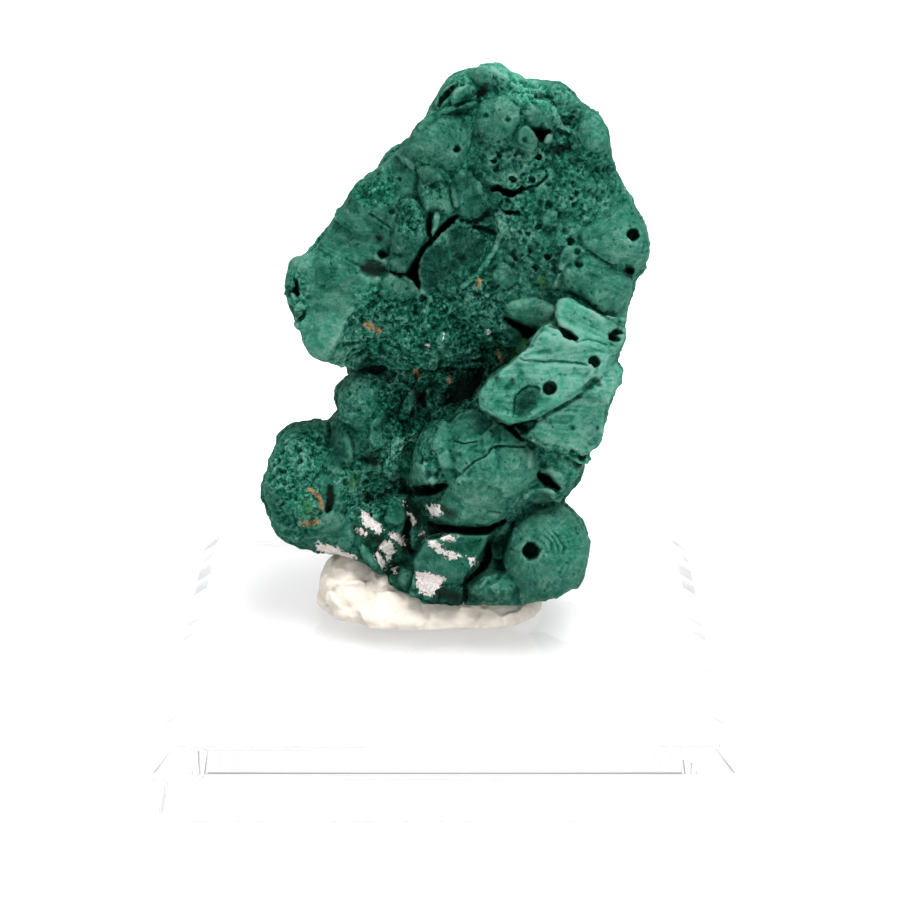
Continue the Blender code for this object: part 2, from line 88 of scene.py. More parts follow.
# Softness of the areas' edges, in picture points
CRUST_EDGE = 7
BROKEN_EDGE = 8
PIT_EDGE = 5
FILM_EDGE = 4.5

# Round pits: size of the cells in millimetres, pattern number, and the share of cells that have one
WIDE_PITS = ((1.35, 21, 0.5), (0.75, 22, 0.4))
FINE_PITS = ((1.6, 23, 0.22), (0.9, 24, 0.16))

# Where nothing else says, how light the stone is, and how much that counts
PLAIN_TONE = 0.46
PLAIN_WEIGHT = 0.10

# The room: the floor a hair below the block, the lamp, and the heights between which the walls are dim
FLOOR_REACH = 1.6
FLOOR_GAP = 0.15 * MM
FLOOR_GLOW = 0.31
ROOM_STRENGTH = 0.97
WALL_WHITE = (1.0, 1.0, 1.0)
WALL_DIM = (0.34, 0.35, 0.40)
DIM_HEIGHTS = (0.565, 0.58, 0.66, 0.69)
LAMP_PLACE = (0.10, -0.12, 0.45)
LAMP_AIM = (0, 0, 0.03)
LAMP_SIZE = 0.22
LAMP_POWER = 2.8
LIGHT_BOUNCES = 64

OUTLINE = (
    (490, 66), (505, 68), (516, 73), (526, 80), (540, 82), (556, 83), (568, 90), (577, 99), (582, 108),
    (592, 112), (601, 120), (608, 133), (609, 148), (613, 160), (616, 176), (621, 187), (629, 199),
    (636, 213), (645, 231), (650, 248), (647, 261), (638, 269), (632, 282), (629, 298), (624, 316),
    (626, 332), (622, 346), (613, 356), (620, 368), (620, 382), (611, 396), (603, 410), (603, 430),
    (600, 444), (588, 452), (583, 466), (574, 482), (565, 495), (557, 503), (569, 510), (579, 521),
    (586, 538), (588, 553), (584, 572), (574, 587), (558, 597), (538, 601), (522, 606), (503, 605),
    (470, 604), (440, 602), (415, 597), (398, 591), (384, 579), (368, 565), (350, 557), (330, 551),
    (312, 549), (297, 544), (283, 537), (275, 527), (271, 513), (266, 499), (263, 488), (268, 474),
    (272, 457), (281, 439), (289, 430), (301, 425), (317, 420), (333, 422), (341, 418), (338, 403),
    (339, 391), (347, 379), (357, 369), (349, 366), (334, 364), (322, 360), (311, 357), (305, 346),
    (302, 332), (298, 325), (297, 313), (291, 302), (288, 288), (290, 272), (295, 260), (309, 253),
    (321, 243), (327, 228), (336, 216), (346, 203), (356, 190), (368, 177), (384, 163), (400, 149),
    (412, 136), (423, 121), (432, 105), (441, 88), (450, 78), (465, 72), (478, 67),
)

# Rounded masses: name, place, how far the crest stands out, radii across, up and out, and turn in degrees
MASSES = (
    ("crown", (505, 150), 5.2, (9.0, 7.2, 6.2), 0),
    ("brow", (440, 190), 5.4, (7.2, 8.2, 6.0), -35),
    ("right_shoulder", (575, 215), 5.4, (6.8, 9.2, 6.2), 8),
    ("heart", (500, 250), 4.9, (9.0, 9.0, 6.6), 0),
    ("left_shoulder", (380, 262), 4.6, (8.4, 7.0, 5.6), 20),
    ("left_cheek", (335, 305), 4.4, (4.8, 6.2, 4.6), 0),
    ("middle", (420, 315), 4.2, (9.0, 5.0, 5.6), 0),
    ("right_waist", (570, 310), 5.4, (5.8, 7.0, 6.2), 0),
    ("hollow_floor", (435, 385), 1.4, (8.5, 6.8, 4.2), 0),
    ("right_hip", (560, 405), 5.4, (4.8, 9.0, 6.2), -12),
    ("left_neck", (375, 425), 2.0, (4.6, 6.5, 4.2), 0),
    ("belly", (480, 475), 5.4, (7.2, 6.6, 6.2), 0),
    ("left_foot", (318, 487), 3.4, (5.4, 6.0, 5.2), 0),
    ("left_sole", (385, 525), 3.6, (7.5, 4.6, 5.6), 20),
    ("right_foot", (537, 553), 5.6, (4.9, 4.8, 5.8), 0),
    ("sole", (460, 562), 4.6, (7.0, 4.2, 5.8), 0),
    # What stands on those masses
    ("cap", (492, 84), 4.4, (4.2, 2.2, 4.6), 0),
    ("cap_right", (558, 100), 4.6, (3.4, 2.0, 3.8), -30),
    ("flap_high", (458, 98), 4.8, (2.6, 1.6, 3.0), 45),
    ("top_middle", (510, 118), 6.2, (4.6, 3.0, 3.4), 0),
    ("temple", (590, 138), 5.2, (2.4, 3.2, 3.6), 0),
    ("smooth_brow", (444, 146), 6.0, (4.2, 4.0, 3.6), -20),
    ("left_rim_high", (384, 196), 5.0, (4.4, 2.6, 3.4), 45),
    ("fan_left", (332, 275), 5.4, (3.6, 3.0, 3.0), -5),
    ("left_lip", (294, 290), 2.8, (0.7, 3.2, 2.4), 0),
    ("fan_low", (328, 325), 5.2, (3.3, 3.8, 3.0), 0),
    ("weathered_face", (550, 190), 6.0, (6.2, 7.2, 4.0), 0),
    ("right_fan", (612, 240), 5.9, (3.4, 3.4, 3.6), 0),
    ("right_fan_low", (598, 286), 6.2, (3.4, 3.0, 3.6), 10),
    ("mid_left_dome", (366, 398), 3.2, (2.8, 3.2, 3.0), 0),
    ("foot_lobe", (300, 478), 4.6, (3.4, 4.6, 3.4), 0),
    ("great_lobe", (486, 462), 8.2, (5.4, 4.8, 4.4), -20),
    ("great_lobe_low", (474, 502), 7.6, (4.6, 2.6, 3.6), 0),
    ("lobe_left", (440, 455), 7.4, (2.4, 3.2, 2.8), 0),
    ("tube_lobe", (558, 468), 6.8, (2.9, 3.4, 3.8), -20),
    ("disc", (546, 553), 8.8, (4.0, 4.4, 3.6), 0),
    ("disc_tail", (497, 586), 8.0, (3.0, 1.5, 2.8), 10),
    ("leaf_low", (370, 558), 4.8, (2.0, 1.0, 1.8), -45),
    ("toe", (407, 580), 5.6, (1.6, 1.3, 2.0), 0),
    # The side that faces away
    ("back_crown", (520, 155), -0.4, (6.6, 5.2, 4.6), 0),
    ("back_left", (405, 250), -0.6, (5.6, 4.8, 4.4), 20),
    ("back_right", (575, 255), -0.4, (5.0, 6.2, 4.6), 0),
    ("back_middle", (480, 330), -0.6, (6.2, 5.2, 4.6), 0),
    ("back_low", (515, 430), -0.4, (5.4, 6.2, 4.6), 0),
    ("back_left_foot", (330, 480), -0.8, (3.8, 4.0, 3.4), 0),
    ("back_sole", (450, 540), 0.2, (5.6, 4.2, 4.6), 0),
)

# Growths that lap over the masses: name, lift, the rounded edge's width, lightness, fibres' root, and outline
GROWTHS = (
    ("high_plate", 0.05, 0.2, 0.96, (300, 180),
     ((556, 300), (566, 295), (576, 297), (598, 312), (622, 328), (614, 352), (596, 350), (580, 345),
      (564, 332), (554, 318))),
    ("broad_plate", 0.05, 0.2, 0.96, (300, 390),
     ((538, 322), (552, 320), (564, 330), (580, 341), (598, 349), (618, 358), (604, 378), (589, 390),
      (562, 406), (534, 420), (508, 426), (488, 414), (478, 408), (477, 391), (494, 373), (517, 356),
      (527, 346))),
    ("low_plate", 0.05, 0.2, 0.87, (250, 380),
     ((600, 378), (616, 360), (624, 372), (618, 394), (606, 414), (606, 442), (584, 455), (556, 444),
      (540, 442), (522, 424), (536, 418), (564, 404))),
    ("foot_plate", 0.05, 0.2, 0.56, None,
     ((424, 541), (450, 533), (493, 533), (485, 552), (474, 569), (461, 584), (437, 583), (415, 575),
      (409, 564))),
    ("left_lobe", 0.43, 0.72, 0.71, (400, 292),
     ((293, 258), (318, 246), (360, 267), (384, 276), (380, 292), (368, 306), (350, 318), (340, 340),
      (332, 362), (310, 360), (298, 335), (290, 300), (288, 275))),
    ("left_fan", 0.50, 0.30, 0.50, (362, 268),
     ((318, 250), (358, 269), (362, 279), (348, 289), (330, 291), (319, 288), (313, 279), (312, 264))),
    ("fan_strip", 0.48, 0.40, 0.60, (390, 262),
     ((318, 234), (344, 240), (366, 248), (390, 260), (384, 268), (372, 270), (358, 267), (338, 257),
      (318, 247))),
    ("high_fan", 0.50, 1.2, 0.58, (386, 246),
     ((321, 241), (328, 224), (340, 206), (354, 203), (370, 214), (381, 223), (390, 229), (393, 240),
      (387, 250), (377, 252), (384, 263), (360, 255), (340, 247))),
    ("rough_rim", 0.53, 0.56, 0.46, None,
     ((340, 204), (368, 176), (398, 150), (412, 158), (417, 176), (414, 192), (402, 200), (398, 214),
      (394, 234), (378, 232), (364, 222), (350, 212))),
    ("finger", 1.02, 1.30, 0.46, (404, 255),
     ((401, 197), (416, 197), (422, 210), (426, 224), (427, 237), (421, 250), (415, 262), (408, 271),
      (400, 274), (391, 269), (387, 257), (391, 243), (393, 230), (398, 214))),
    ("knife", 1.0, 0.15, 0.64, None,
     ((432, 216), (437, 213), (441, 219), (438, 232), (433, 241), (430, 238), (432, 226))),
    ("low_left_lobe", 0.70, 1.10, 0.46, (396, 296),
     ((382, 277), (392, 276), (404, 279), (413, 285), (418, 292), (410, 301), (396, 306), (384, 300),
      (378, 288))),
    ("arc_lobe", 0.64, 1.00, 0.50, (432, 192),
     ((419, 167), (430, 163), (439, 168), (446, 177), (450, 190), (452, 203), (454, 213), (446, 217),
      (438, 209), (430, 212), (424, 212), (419, 200), (417, 184))),
    ("arc_core", 0.76, 0.70, 0.40, (434, 176),
     ((424, 168), (432, 166), (441, 173), (446, 182), (440, 190), (430, 188), (423, 180))),
    ("brow", 0.70, 1.60, 0.48, (457, 150),
     ((396, 154), (412, 134), (423, 121), (434, 114), (450, 111), (468, 114), (474, 128), (470, 146),
      (464, 160), (456, 170), (446, 172), (437, 164), (424, 159), (408, 158))),
    ("drop", 0.96, 1.30, 0.42, (470, 176),
     ((451, 186), (457, 172), (468, 170), (480, 180), (488, 192), (490, 206), (485, 213), (473, 219),
      (462, 217), (455, 209))),
    ("sunk_high", -0.31, 0.64, 0.38, (446, 278),
     ((446, 232), (457, 222), (472, 226), (487, 232), (488, 246), (478, 262), (464, 268), (452, 258))),
    ("sunk_low", -0.19, 0.64, 0.42, (446, 278),
     ((440, 240), (450, 258), (462, 268), (446, 280), (430, 288), (420, 290), (416, 276), (421, 258))),
    ("rosette_left", 0.62, 1.20, 0.54, (498, 119),
     ((478, 108), (484, 98), (496, 96), (508, 98), (518, 105), (521, 117), (517, 128), (508, 137),
      (495, 142), (484, 138), (477, 128), (475, 118))),
    ("rosette_right", 0.66, 1.10, 0.48, (538, 116),
     ((524, 110), (530, 102), (540, 101), (550, 105), (557, 113), (556, 124), (549, 131), (540, 130),
      (530, 127), (525, 119))),
    ("knuckle", 1.18, 0.48, 0.52, None,
     ((518, 130), (526, 124), (533, 129), (538, 138), (537, 149), (529, 153), (520, 149), (516, 139))),
    ("knob", 0.99, 0.40, 0.66, None, ((541, 134), (551, 132), (554, 139), (548, 145), (541, 142))),
    ("ridge_high", 0.55, 0.40, 0.84, None,
     ((489, 68), (500, 70), (514, 80), (522, 88), (534, 90), (532, 98), (520, 95), (508, 92), (498, 82))),
    ("ridge_low", 0.60, 0.40, 0.80, None,
     ((530, 90), (541, 98), (553, 106), (560, 120), (574, 130), (570, 135), (556, 128), (548, 112),
      (532, 100))),
    ("flap_a", 0.68, 0.32, 0.56, None,
     ((434, 108), (442, 90), (456, 80), (462, 84), (450, 96), (440, 112))),
    ("flap_b", 0.93, 0.32, 0.50, (470, 84),
     ((449, 100), (456, 88), (472, 84), (480, 92), (468, 98), (452, 106))),
    ("flap_c", 0.74, 0.32, 0.56, None,
     ((436, 113), (452, 108), (472, 100), (480, 98), (474, 108), (450, 113))),
    ("cap_facet", 0.56, 0.32, 0.32, None,
     ((474, 68), (490, 67), (494, 78), (490, 92), (480, 88), (474, 78))),
    ("temple", 0.50, 1.20, 0.60, (590, 130),
     ((578, 124), (590, 115), (602, 121), (608, 133), (609, 148), (600, 154), (586, 149), (577, 140))),
    ("right_fan", 0.50, 1.40, 0.58, (578, 244),
     ((582, 230), (594, 222), (612, 213), (630, 200), (640, 213), (648, 231), (653, 248), (649, 262),
      (636, 268), (622, 267), (606, 262), (588, 252), (579, 245))),
    ("right_fan_low", 0.50, 1.20, 0.57, (560, 262),
     ((563, 268), (576, 262), (588, 254), (604, 263), (618, 270), (632, 274), (634, 284), (630, 300),
      (622, 322), (606, 317), (590, 306), (575, 296), (568, 289), (562, 278))),
    ("right_band", 0.50, 0.48, 0.56, (570, 240),
     ((558, 262), (562, 250), (570, 244), (580, 246), (588, 252), (576, 261), (563, 268), (560, 290),
      (550, 290), (556, 274))),
    ("ring_dome", 0.50, 1.00, 0.42, (505, 276),
     ((494, 268), (504, 263), (514, 266), (518, 276), (514, 286), (504, 290), (494, 286), (491, 277))),
    ("ring_rosette", 0.50, 0.48, 0.46, (550, 219),
     ((542, 212), (550, 207), (558, 211), (560, 220), (556, 228), (547, 229), (541, 223))),
    ("pod", 1.18, 1.04, 0.58, (500, 308),
     ((504, 306), (514, 300), (528, 297), (544, 299), (554, 305), (556, 315), (544, 323), (530, 326),
      (518, 322), (508, 315))),
    ("shallow_dome", 0.50, 0.64, 0.36, None,
     ((496, 326), (506, 321), (517, 325), (522, 334), (514, 341), (503, 339), (496, 333))),
    ("plate_fan", 0.15, 0.16, 0.34, (545, 372),
     ((514, 402), (520, 390), (528, 384), (541, 385), (542, 396), (534, 407), (527, 418), (517, 418),
      (513, 411))),
    ("plate_lip", 0.31, 0.24, 0.62, None,
     ((590, 366), (596, 374), (595, 384), (586, 386), (583, 379), (589, 375))),
    ("pale_cup", 0.37, 0.40, 0.62, None,
     ((606, 342), (614, 326), (626, 324), (628, 340), (620, 354), (610, 352))),
    ("great_lobe", 0.60, 1.80, 0.60, None,
     ((438, 426), (448, 418), (462, 413), (476, 412), (488, 416), (496, 423), (507, 432), (518, 440),
      (528, 446), (537, 454), (541, 466), (536, 479), (524, 489), (511, 495), (507, 508), (499, 519),
      (485, 526), (468, 525), (448, 523), (434, 520), (432, 508), (444, 494), (448, 484), (440, 466),
      (430, 444))),
    ("great_facet", 0.45, 0.3, 0.42, None,
     ((445, 421), (456, 415), (474, 413), (477, 421), (466, 427), (460, 433), (450, 432))),
    ("great_flake", 0.70, 0.25, 0.61, (520, 400),
     ((458, 434), (476, 422), (490, 420), (506, 432), (522, 443), (504, 446), (486, 450), (474, 459),
      (462, 468), (452, 462), (448, 446))),
    ("lobe_knob", 0.56, 0.48, 0.64, None,
     ((408, 470), (414, 462), (424, 464), (430, 474), (438, 484), (433, 489), (420, 482), (410, 480))),
    ("tube_wall", 0.56, 0.40, 0.56, (536, 470),
     ((542, 470), (552, 466), (562, 472), (568, 484), (562, 495), (556, 492), (554, 482), (546, 474))),
    ("leaf", 1.05, 0.40, 0.58, (560, 494),
     ((521, 497), (528, 490), (542, 487), (558, 491), (556, 500), (544, 504), (530, 503))),
    ("disc", 0.50, 1.60, 0.61, (531, 551),
     ((514, 530), (521, 522), (535, 512), (550, 502), (560, 503), (572, 509), (583, 521), (590, 538),
      (592, 553), (588, 574), (577, 591), (560, 602), (530, 605), (502, 602), (498, 590), (502, 570),
      (506, 548))),
    ("disc_tail", 0.50, 0.40, 0.56, (470, 600),
     ((463, 590), (470, 579), (483, 571), (494, 565), (499, 576), (502, 592), (498, 602), (478, 599))),
    ("gusset", 0.56, 0.32, 0.44, None,
     ((497, 530), (506, 521), (514, 526), (509, 538), (503, 548), (502, 562), (494, 560), (489, 550))),
    ("slip", 0.81, 0.32, 0.50, None,
     ((391, 498), (400, 494), (409, 495), (404, 505), (408, 515), (404, 525), (394, 526), (384, 520),
      (386, 508))),
    ("rib", 1.18, 0.40, 0.60, (395, 500),
     ((390, 441), (395, 432), (402, 434), (404, 448), (400, 465), (394, 477), (385, 477), (381, 466),
      (388, 456))),
    ("pale_plate", 0.81, 0.32, 0.56, None,
     ((370, 424), (377, 417), (383, 420), (382, 434), (384, 446), (374, 449), (368, 440))),
    ("foot_smooth", 0.37, 0.64, 0.50, (310, 500),
     ((326, 432), (344, 428), (354, 444), (352, 466), (340, 478), (326, 470), (320, 452))),
    ("foot_low", 0.43, 0.90, 0.54, (300, 540),
     ((320, 516), (334, 510), (350, 518), (356, 536), (350, 552), (330, 550), (308, 548), (298, 538))),
    ("fuzz_ball", 0.70, 0.90, 0.70, (307, 508),
     ((294, 504), (300, 494), (312, 492), (320, 502), (320, 516), (310, 522), (298, 518))),
    ("leaf_low", 0.62, 0.32, 0.48, None,
     ((357, 543), (366, 545), (374, 556), (378, 568), (370, 567), (361, 558))),
    ("toe", 0.50, 0.40, 0.42, None,
     ((396, 574), (404, 568), (414, 572), (418, 584), (410, 592), (398, 588))),
)

PLATE_GROWTHS = [index for index, growth in enumerate(GROWTHS) if growth[0].endswith("plate")]

# Broken plates: name, the corners with how far each stands out, and the thickness
PLATES = (
    ("high_plate", ((558, 301, 7.6), (570, 296, 8.0), (596, 313, 7.4), (619, 328, 5.8), (611, 337, 6.2),
                    (609, 348, 6.6), (592, 342, 7.8), (576, 341, 8.4), (562, 326, 8.4),
                    (556, 316, 8.0)), 4.0),
    ("broad_plate", ((542, 326, 8.8), (552, 323, 9.0), (576, 343, 8.8), (609, 351, 7.2), (614, 362, 6.4),
                     (600, 378, 7.8), (587, 388, 8.4), (561, 405, 9.2), (533, 419, 9.4), (508, 424, 8.8),
                     (488, 412, 8.2), (480, 408, 8.0), (479, 393, 8.2), (496, 375, 9.2), (518, 358, 9.6),
                     (529, 348, 9.4)), 5.0),
    ("low_plate", ((619, 366, 5.6), (613, 394, 5.6), (602, 412, 6.0), (602, 440, 5.8), (580, 452, 6.8),
                   (548, 450, 7.4), (524, 436, 7.8), (545, 418, 8.0), (566, 406, 8.0),
                   (598, 382, 7.0)), 5.0),
    ("foot_plate", ((426, 542, 7.8), (450, 535, 8.4), (490, 535, 7.8), (483, 550, 8.2), (472, 567, 8.0),
                    (461, 582, 7.6), (438, 581, 7.4), (417, 573, 7.0), (412, 564, 7.2)), 4.0),
)

# Clefts: name, the places that they run through with the width at each, and how far out their floor stands
CLEFTS = (
    ("black_fissure",
     ((457, 216, 3), (450, 221, 6), (443, 227, 5), (436, 235, 4), (430, 241, 4), (423, 248, 4),
      (418, 256, 4), (414, 265, 8), (412, 273, 12), (416, 281, 6), (419, 289, 2)), 1.4),
    ("fissure_branch", ((410, 274, 4), (404, 274, 3), (398, 275, 3), (390, 271, 2)), 3.2),
    ("knife_slot", ((430, 214, 3), (429, 224, 6), (429, 232, 5), (431, 239, 2)), 4.2),
    ("drop_underside", ((461, 220, 2), (474, 222, 4), (482, 219, 5), (489, 212, 3)), 4.6),
    ("sunk_rim", ((474, 226, 3), (485, 229, 6), (494, 233, 5)), 4.2),
    ("star_pit", ((361, 262, 8), (370, 267, 18), (379, 269, 14), (387, 272, 3)), 4.9),
    ("face_slot", ((491, 190, 3), (498, 187, 5), (505, 191, 6), (512, 194, 6), (522, 190, 2)), 2.8),
    ("face_slot_low", ((503, 211, 3), (511, 213, 4), (519, 212, 3)), 4.8),
    ("knuckle_hole", ((533, 129, 4), (541, 132, 12), (549, 131, 4)), 3.2),
    ("knuckle_hole_low", ((541, 132, 10), (542, 142, 3)), 3.2),
    ("soft_recess", ((550, 151, 5), (559, 149, 11), (569, 147, 4)), 4.6),
    ("flap_groove", ((457, 84, 3), (450, 91, 5), (443, 99, 6), (439, 107, 3)), 3.2),
    ("flap_groove_low", ((481, 100, 2), (468, 101, 4), (457, 106, 5)), 4.4),
    ("cap_groove", ((491, 80, 5), (485, 88, 8), (478, 97, 3)), 4.8),
    ("left_crevice", ((296, 278, 2), (297, 285, 4), (296, 290, 6), (300, 296, 4), (303, 303, 3)), 1.8),
    ("left_crevice_low", ((306, 309, 2), (304, 316, 3), (301, 321, 4)), 3.4),
    ("plate_seam",
     ((556, 290, 2), (566, 292, 3), (574, 294, 4), (590, 304, 2), (602, 314, 4), (609, 319, 4)), 5.4),
    ("pod_gap", ((505, 318, 3), (516, 325, 7), (529, 332, 11), (540, 328, 4)), 2.6),
    ("pod_gap_low", ((527, 334, 9), (524, 341, 6), (530, 346, 3)), 3.4),
    ("plate_hole", ((550, 324, 2), (561, 329, 4), (568, 334, 8), (575, 339, 5)), 5.4),
    ("cup_hole", ((618, 329, 2), (613, 337, 8), (612, 344, 3)), 3.6),
    ("lobe_gap", ((504, 424, 2), (509, 429, 6), (515, 434, 6), (522, 441, 2)), 3.6),
    ("knob_gap", ((402, 490, 6), (414, 491, 9), (428, 490, 11), (438, 488, 9), (446, 486, 4)), 2.4),
    ("under_lobe",
     ((430, 524, 6), (440, 529, 9), (455, 529, 8), (475, 531, 7), (490, 529, 6), (505, 521, 3)), 2.4),
    ("beside_block", ((488, 543, 3), (488, 556, 8), (484, 566, 8), (474, 576, 4), (460, 587, 2)), 2.8),
    ("disc_seam", ((514, 522, 4), (510, 532, 4), (506, 542, 3), (503, 552, 2)), 4.6),
    ("tube_mouth", ((539, 475, 5), (547, 480, 10), (558, 488, 4)), 3.2),
    ("dark_hollow", ((484, 366, 5), (478, 376, 10), (468, 388, 16), (456, 396, 12), (450, 401, 6)), 0.2),
    ("side_hollow", ((414, 388, 4), (420, 396, 8), (424, 405, 4)), 0.6),
    ("under_cheek", ((364, 368, 4), (374, 370, 7), (384, 368, 4)), 0.8),
    ("foot_hollow", ((330, 486, 4), (331, 497, 8), (328, 510, 6)), 3.2),
    ("slip_shadow", ((410, 518, 5), (406, 532, 8), (406, 545, 8), (412, 552, 4)), 2.4),
)

# Hollows that are pressed: name, the places that they run through, the width, and the depth
HOLLOWS = (
    ("plate_step", ((596, 381), (587, 388), (561, 405), (533, 419)), 0.5, 1.2),
    ("dark_hollow", ((452, 398), (464, 388), (474, 376)), 1.6, 1.2),
)

# Round holes and pits: place, radius, and depth
HOLES = (
    ((550, 388), 0.66, 3.4), ((594, 361), 0.50, 2.6), ((611, 376), 0.44, 2.0), ((633, 235), 0.55, 2.4),
    ((630, 271), 0.50, 2.0), ((531, 551), 0.76, 3.8), ((580, 460), 0.62, 2.4), ((457, 150), 0.30, 0.9),
    ((382, 255), 0.42, 1.2), ((379, 238), 0.35, 0.4), ((392, 212), 0.32, 0.6), ((401, 256), 0.24, 0.4),
    ((486, 116), 0.22, 0.6), ((508, 120), 0.25, 0.6), ((579, 265), 0.34, 0.9), ((570, 241), 0.34, 0.8),
    ((573, 182), 0.24, 0.7), ((570, 198), 0.34, 0.5), ((427, 475), 0.34, 0.5), ((437, 474), 0.20, 0.4),
    ((436, 450), 0.20, 0.4), ((483, 470), 0.18, 0.3), ((497, 578), 0.22, 0.7), ((500, 153), 0.35, 0.7),
    ((512, 179), 0.32, 0.7), ((493, 160), 0.30, 0.8), ((531, 190), 0.25, 0.5), ((556, 270), 0.34, 0.7),
    ((535, 266), 0.36, 0.9), ((548, 256), 0.34, 1.0), ((516, 258), 0.26, 0.5), ((548, 205), 0.30, 0.5),
    ((530, 250), 0.34, 0.7), ((513, 252), 0.30, 0.6), ((577, 252), 0.34, 0.6), ((538, 226), 0.26, 0.5),
    ((538, 156), 0.34, 0.8), ((524, 141), 0.28, 0.6), ((399, 180), 0.20, 0.5), ((497, 170), 0.30, 0.8),
)

# Fine cracks, and below them raised lines: the places that they run through, the width, and the height
LINES = (
    (((520, 359), (540, 361), (563, 362), (588, 365)), 0.16, -0.35),
    (((512, 416), (516, 396), (527, 386), (541, 388)), 0.16, -0.15),
    (((577, 341), (590, 338), (606, 345)), 0.14, -0.2),
    (((587, 251), (599, 258), (611, 265)), 0.12, -0.2),
    (((525, 447), (508, 446), (492, 448), (484, 456), (475, 461), (463, 472)), 0.14, -0.28),
    (((454, 441), (465, 443), (477, 441)), 0.12, -0.22),
    (((501, 513), (487, 512)), 0.12, -0.2),
    (((369, 214), (379, 220), (390, 228)), 0.14, -0.25),
    (((520, 190), (535, 186), (548, 176)), 0.2, -0.4),
    (((424, 160), (436, 165), (445, 173), (451, 182), (454, 193), (456, 205)), 0.35, 0.22),
    (((318, 247), (338, 257), (359, 268)), 0.25, 0.18),
    (((492, 69), (505, 78), (515, 88), (533, 91), (552, 106), (560, 124), (573, 132)), 0.3, 0.15),
    (((421, 128), (433, 114), (446, 110), (461, 103), (474, 98)), 0.4, 0.2),
    (((438, 426), (447, 418), (462, 412), (477, 412), (489, 416), (508, 431), (524, 443)), 0.35, 0.2),
    (((391, 276), (402, 276), (411, 282), (417, 288)), 0.3, 0.15),
    (((498, 214), (503, 228), (496, 246), (487, 262), (478, 274), (464, 286)), 0.35, 0.28),
    (((444, 338), (434, 356), (424, 380), (412, 398), (404, 415)), 0.7, 0.5),
)

# Rough crystal crust, and pitted weathered ground: the corners of each area
CRUSTS = (
    ((288, 266), (299, 268), (306, 282), (308, 304), (305, 326), (297, 328), (292, 305), (286, 288)),
    ((494, 70), (520, 84), (552, 94), (576, 118), (574, 136), (556, 128), (540, 104), (516, 98),
     (496, 90)),
    ((398, 198), (424, 202), (424, 234), (410, 238), (398, 232)),
    ((425, 182), (445, 184), (441, 199), (425, 197)),
    ((348, 194), (384, 166), (398, 178), (392, 202), (366, 206)),
    ((356, 296), (374, 286), (398, 298), (420, 294), (440, 292), (466, 284), (484, 264), (494, 290),
     (505, 318), (510, 345), (500, 366), (480, 392), (478, 408), (455, 410), (430, 425), (415, 450),
     (400, 500), (380, 520), (345, 520), (334, 480), (352, 455), (390, 425), (374, 400), (388, 375),
     (362, 360), (338, 345), (346, 322)),
    ((266, 470), (282, 440), (318, 424), (330, 450), (322, 480), (326, 520), (300, 535), (276, 520)),
    ((436, 232), (452, 218), (480, 222), (498, 240), (480, 262), (484, 240), (462, 228)),
)
PITTED = (
    ((448, 454), (470, 446), (492, 456), (490, 480), (466, 488), (450, 480)),
    ((482, 146), (500, 136), (520, 146), (548, 145), (560, 158), (596, 152), (612, 170), (618, 190),
     (604, 214), (586, 232), (576, 262), (560, 285), (540, 296), (505, 300), (482, 290), (494, 262),
     (500, 236), (496, 214), (480, 190), (470, 170)),
    ((424, 440), (448, 436), (458, 456), (446, 474), (444, 492), (424, 486), (412, 470)),
    ((484, 384), (500, 378), (512, 392), (510, 412), (490, 414), (480, 402)),
    ((560, 446), (584, 440), (600, 420), (604, 440), (588, 452), (574, 474), (556, 466)),
    ((516, 88), (545, 86), (572, 98), (584, 116), (572, 124), (556, 106), (534, 92)),
)

# Broken ground with flat, tilted faces: the corners of each area
BROKEN = (
    ((436, 424), (462, 411), (496, 418), (524, 442), (540, 458), (530, 482), (508, 496), (500, 516),
     (470, 526), (434, 522), (436, 496), (420, 484), (410, 470), (424, 448)),
    ((434, 96), (452, 78), (480, 68), (520, 74), (536, 88), (520, 98), (478, 104), (446, 112)),
    ((546, 322), (576, 342), (620, 352), (624, 384), (606, 414), (604, 446), (560, 452), (522, 428),
     (480, 412), (484, 384), (520, 352)),
    ((492, 528), (520, 520), (520, 545), (505, 575), (500, 600), (464, 600), (470, 576), (494, 562)),
    ((266, 470), (282, 436), (322, 420), (350, 440), (352, 480), (330, 500), (320, 540), (280, 530)),
)

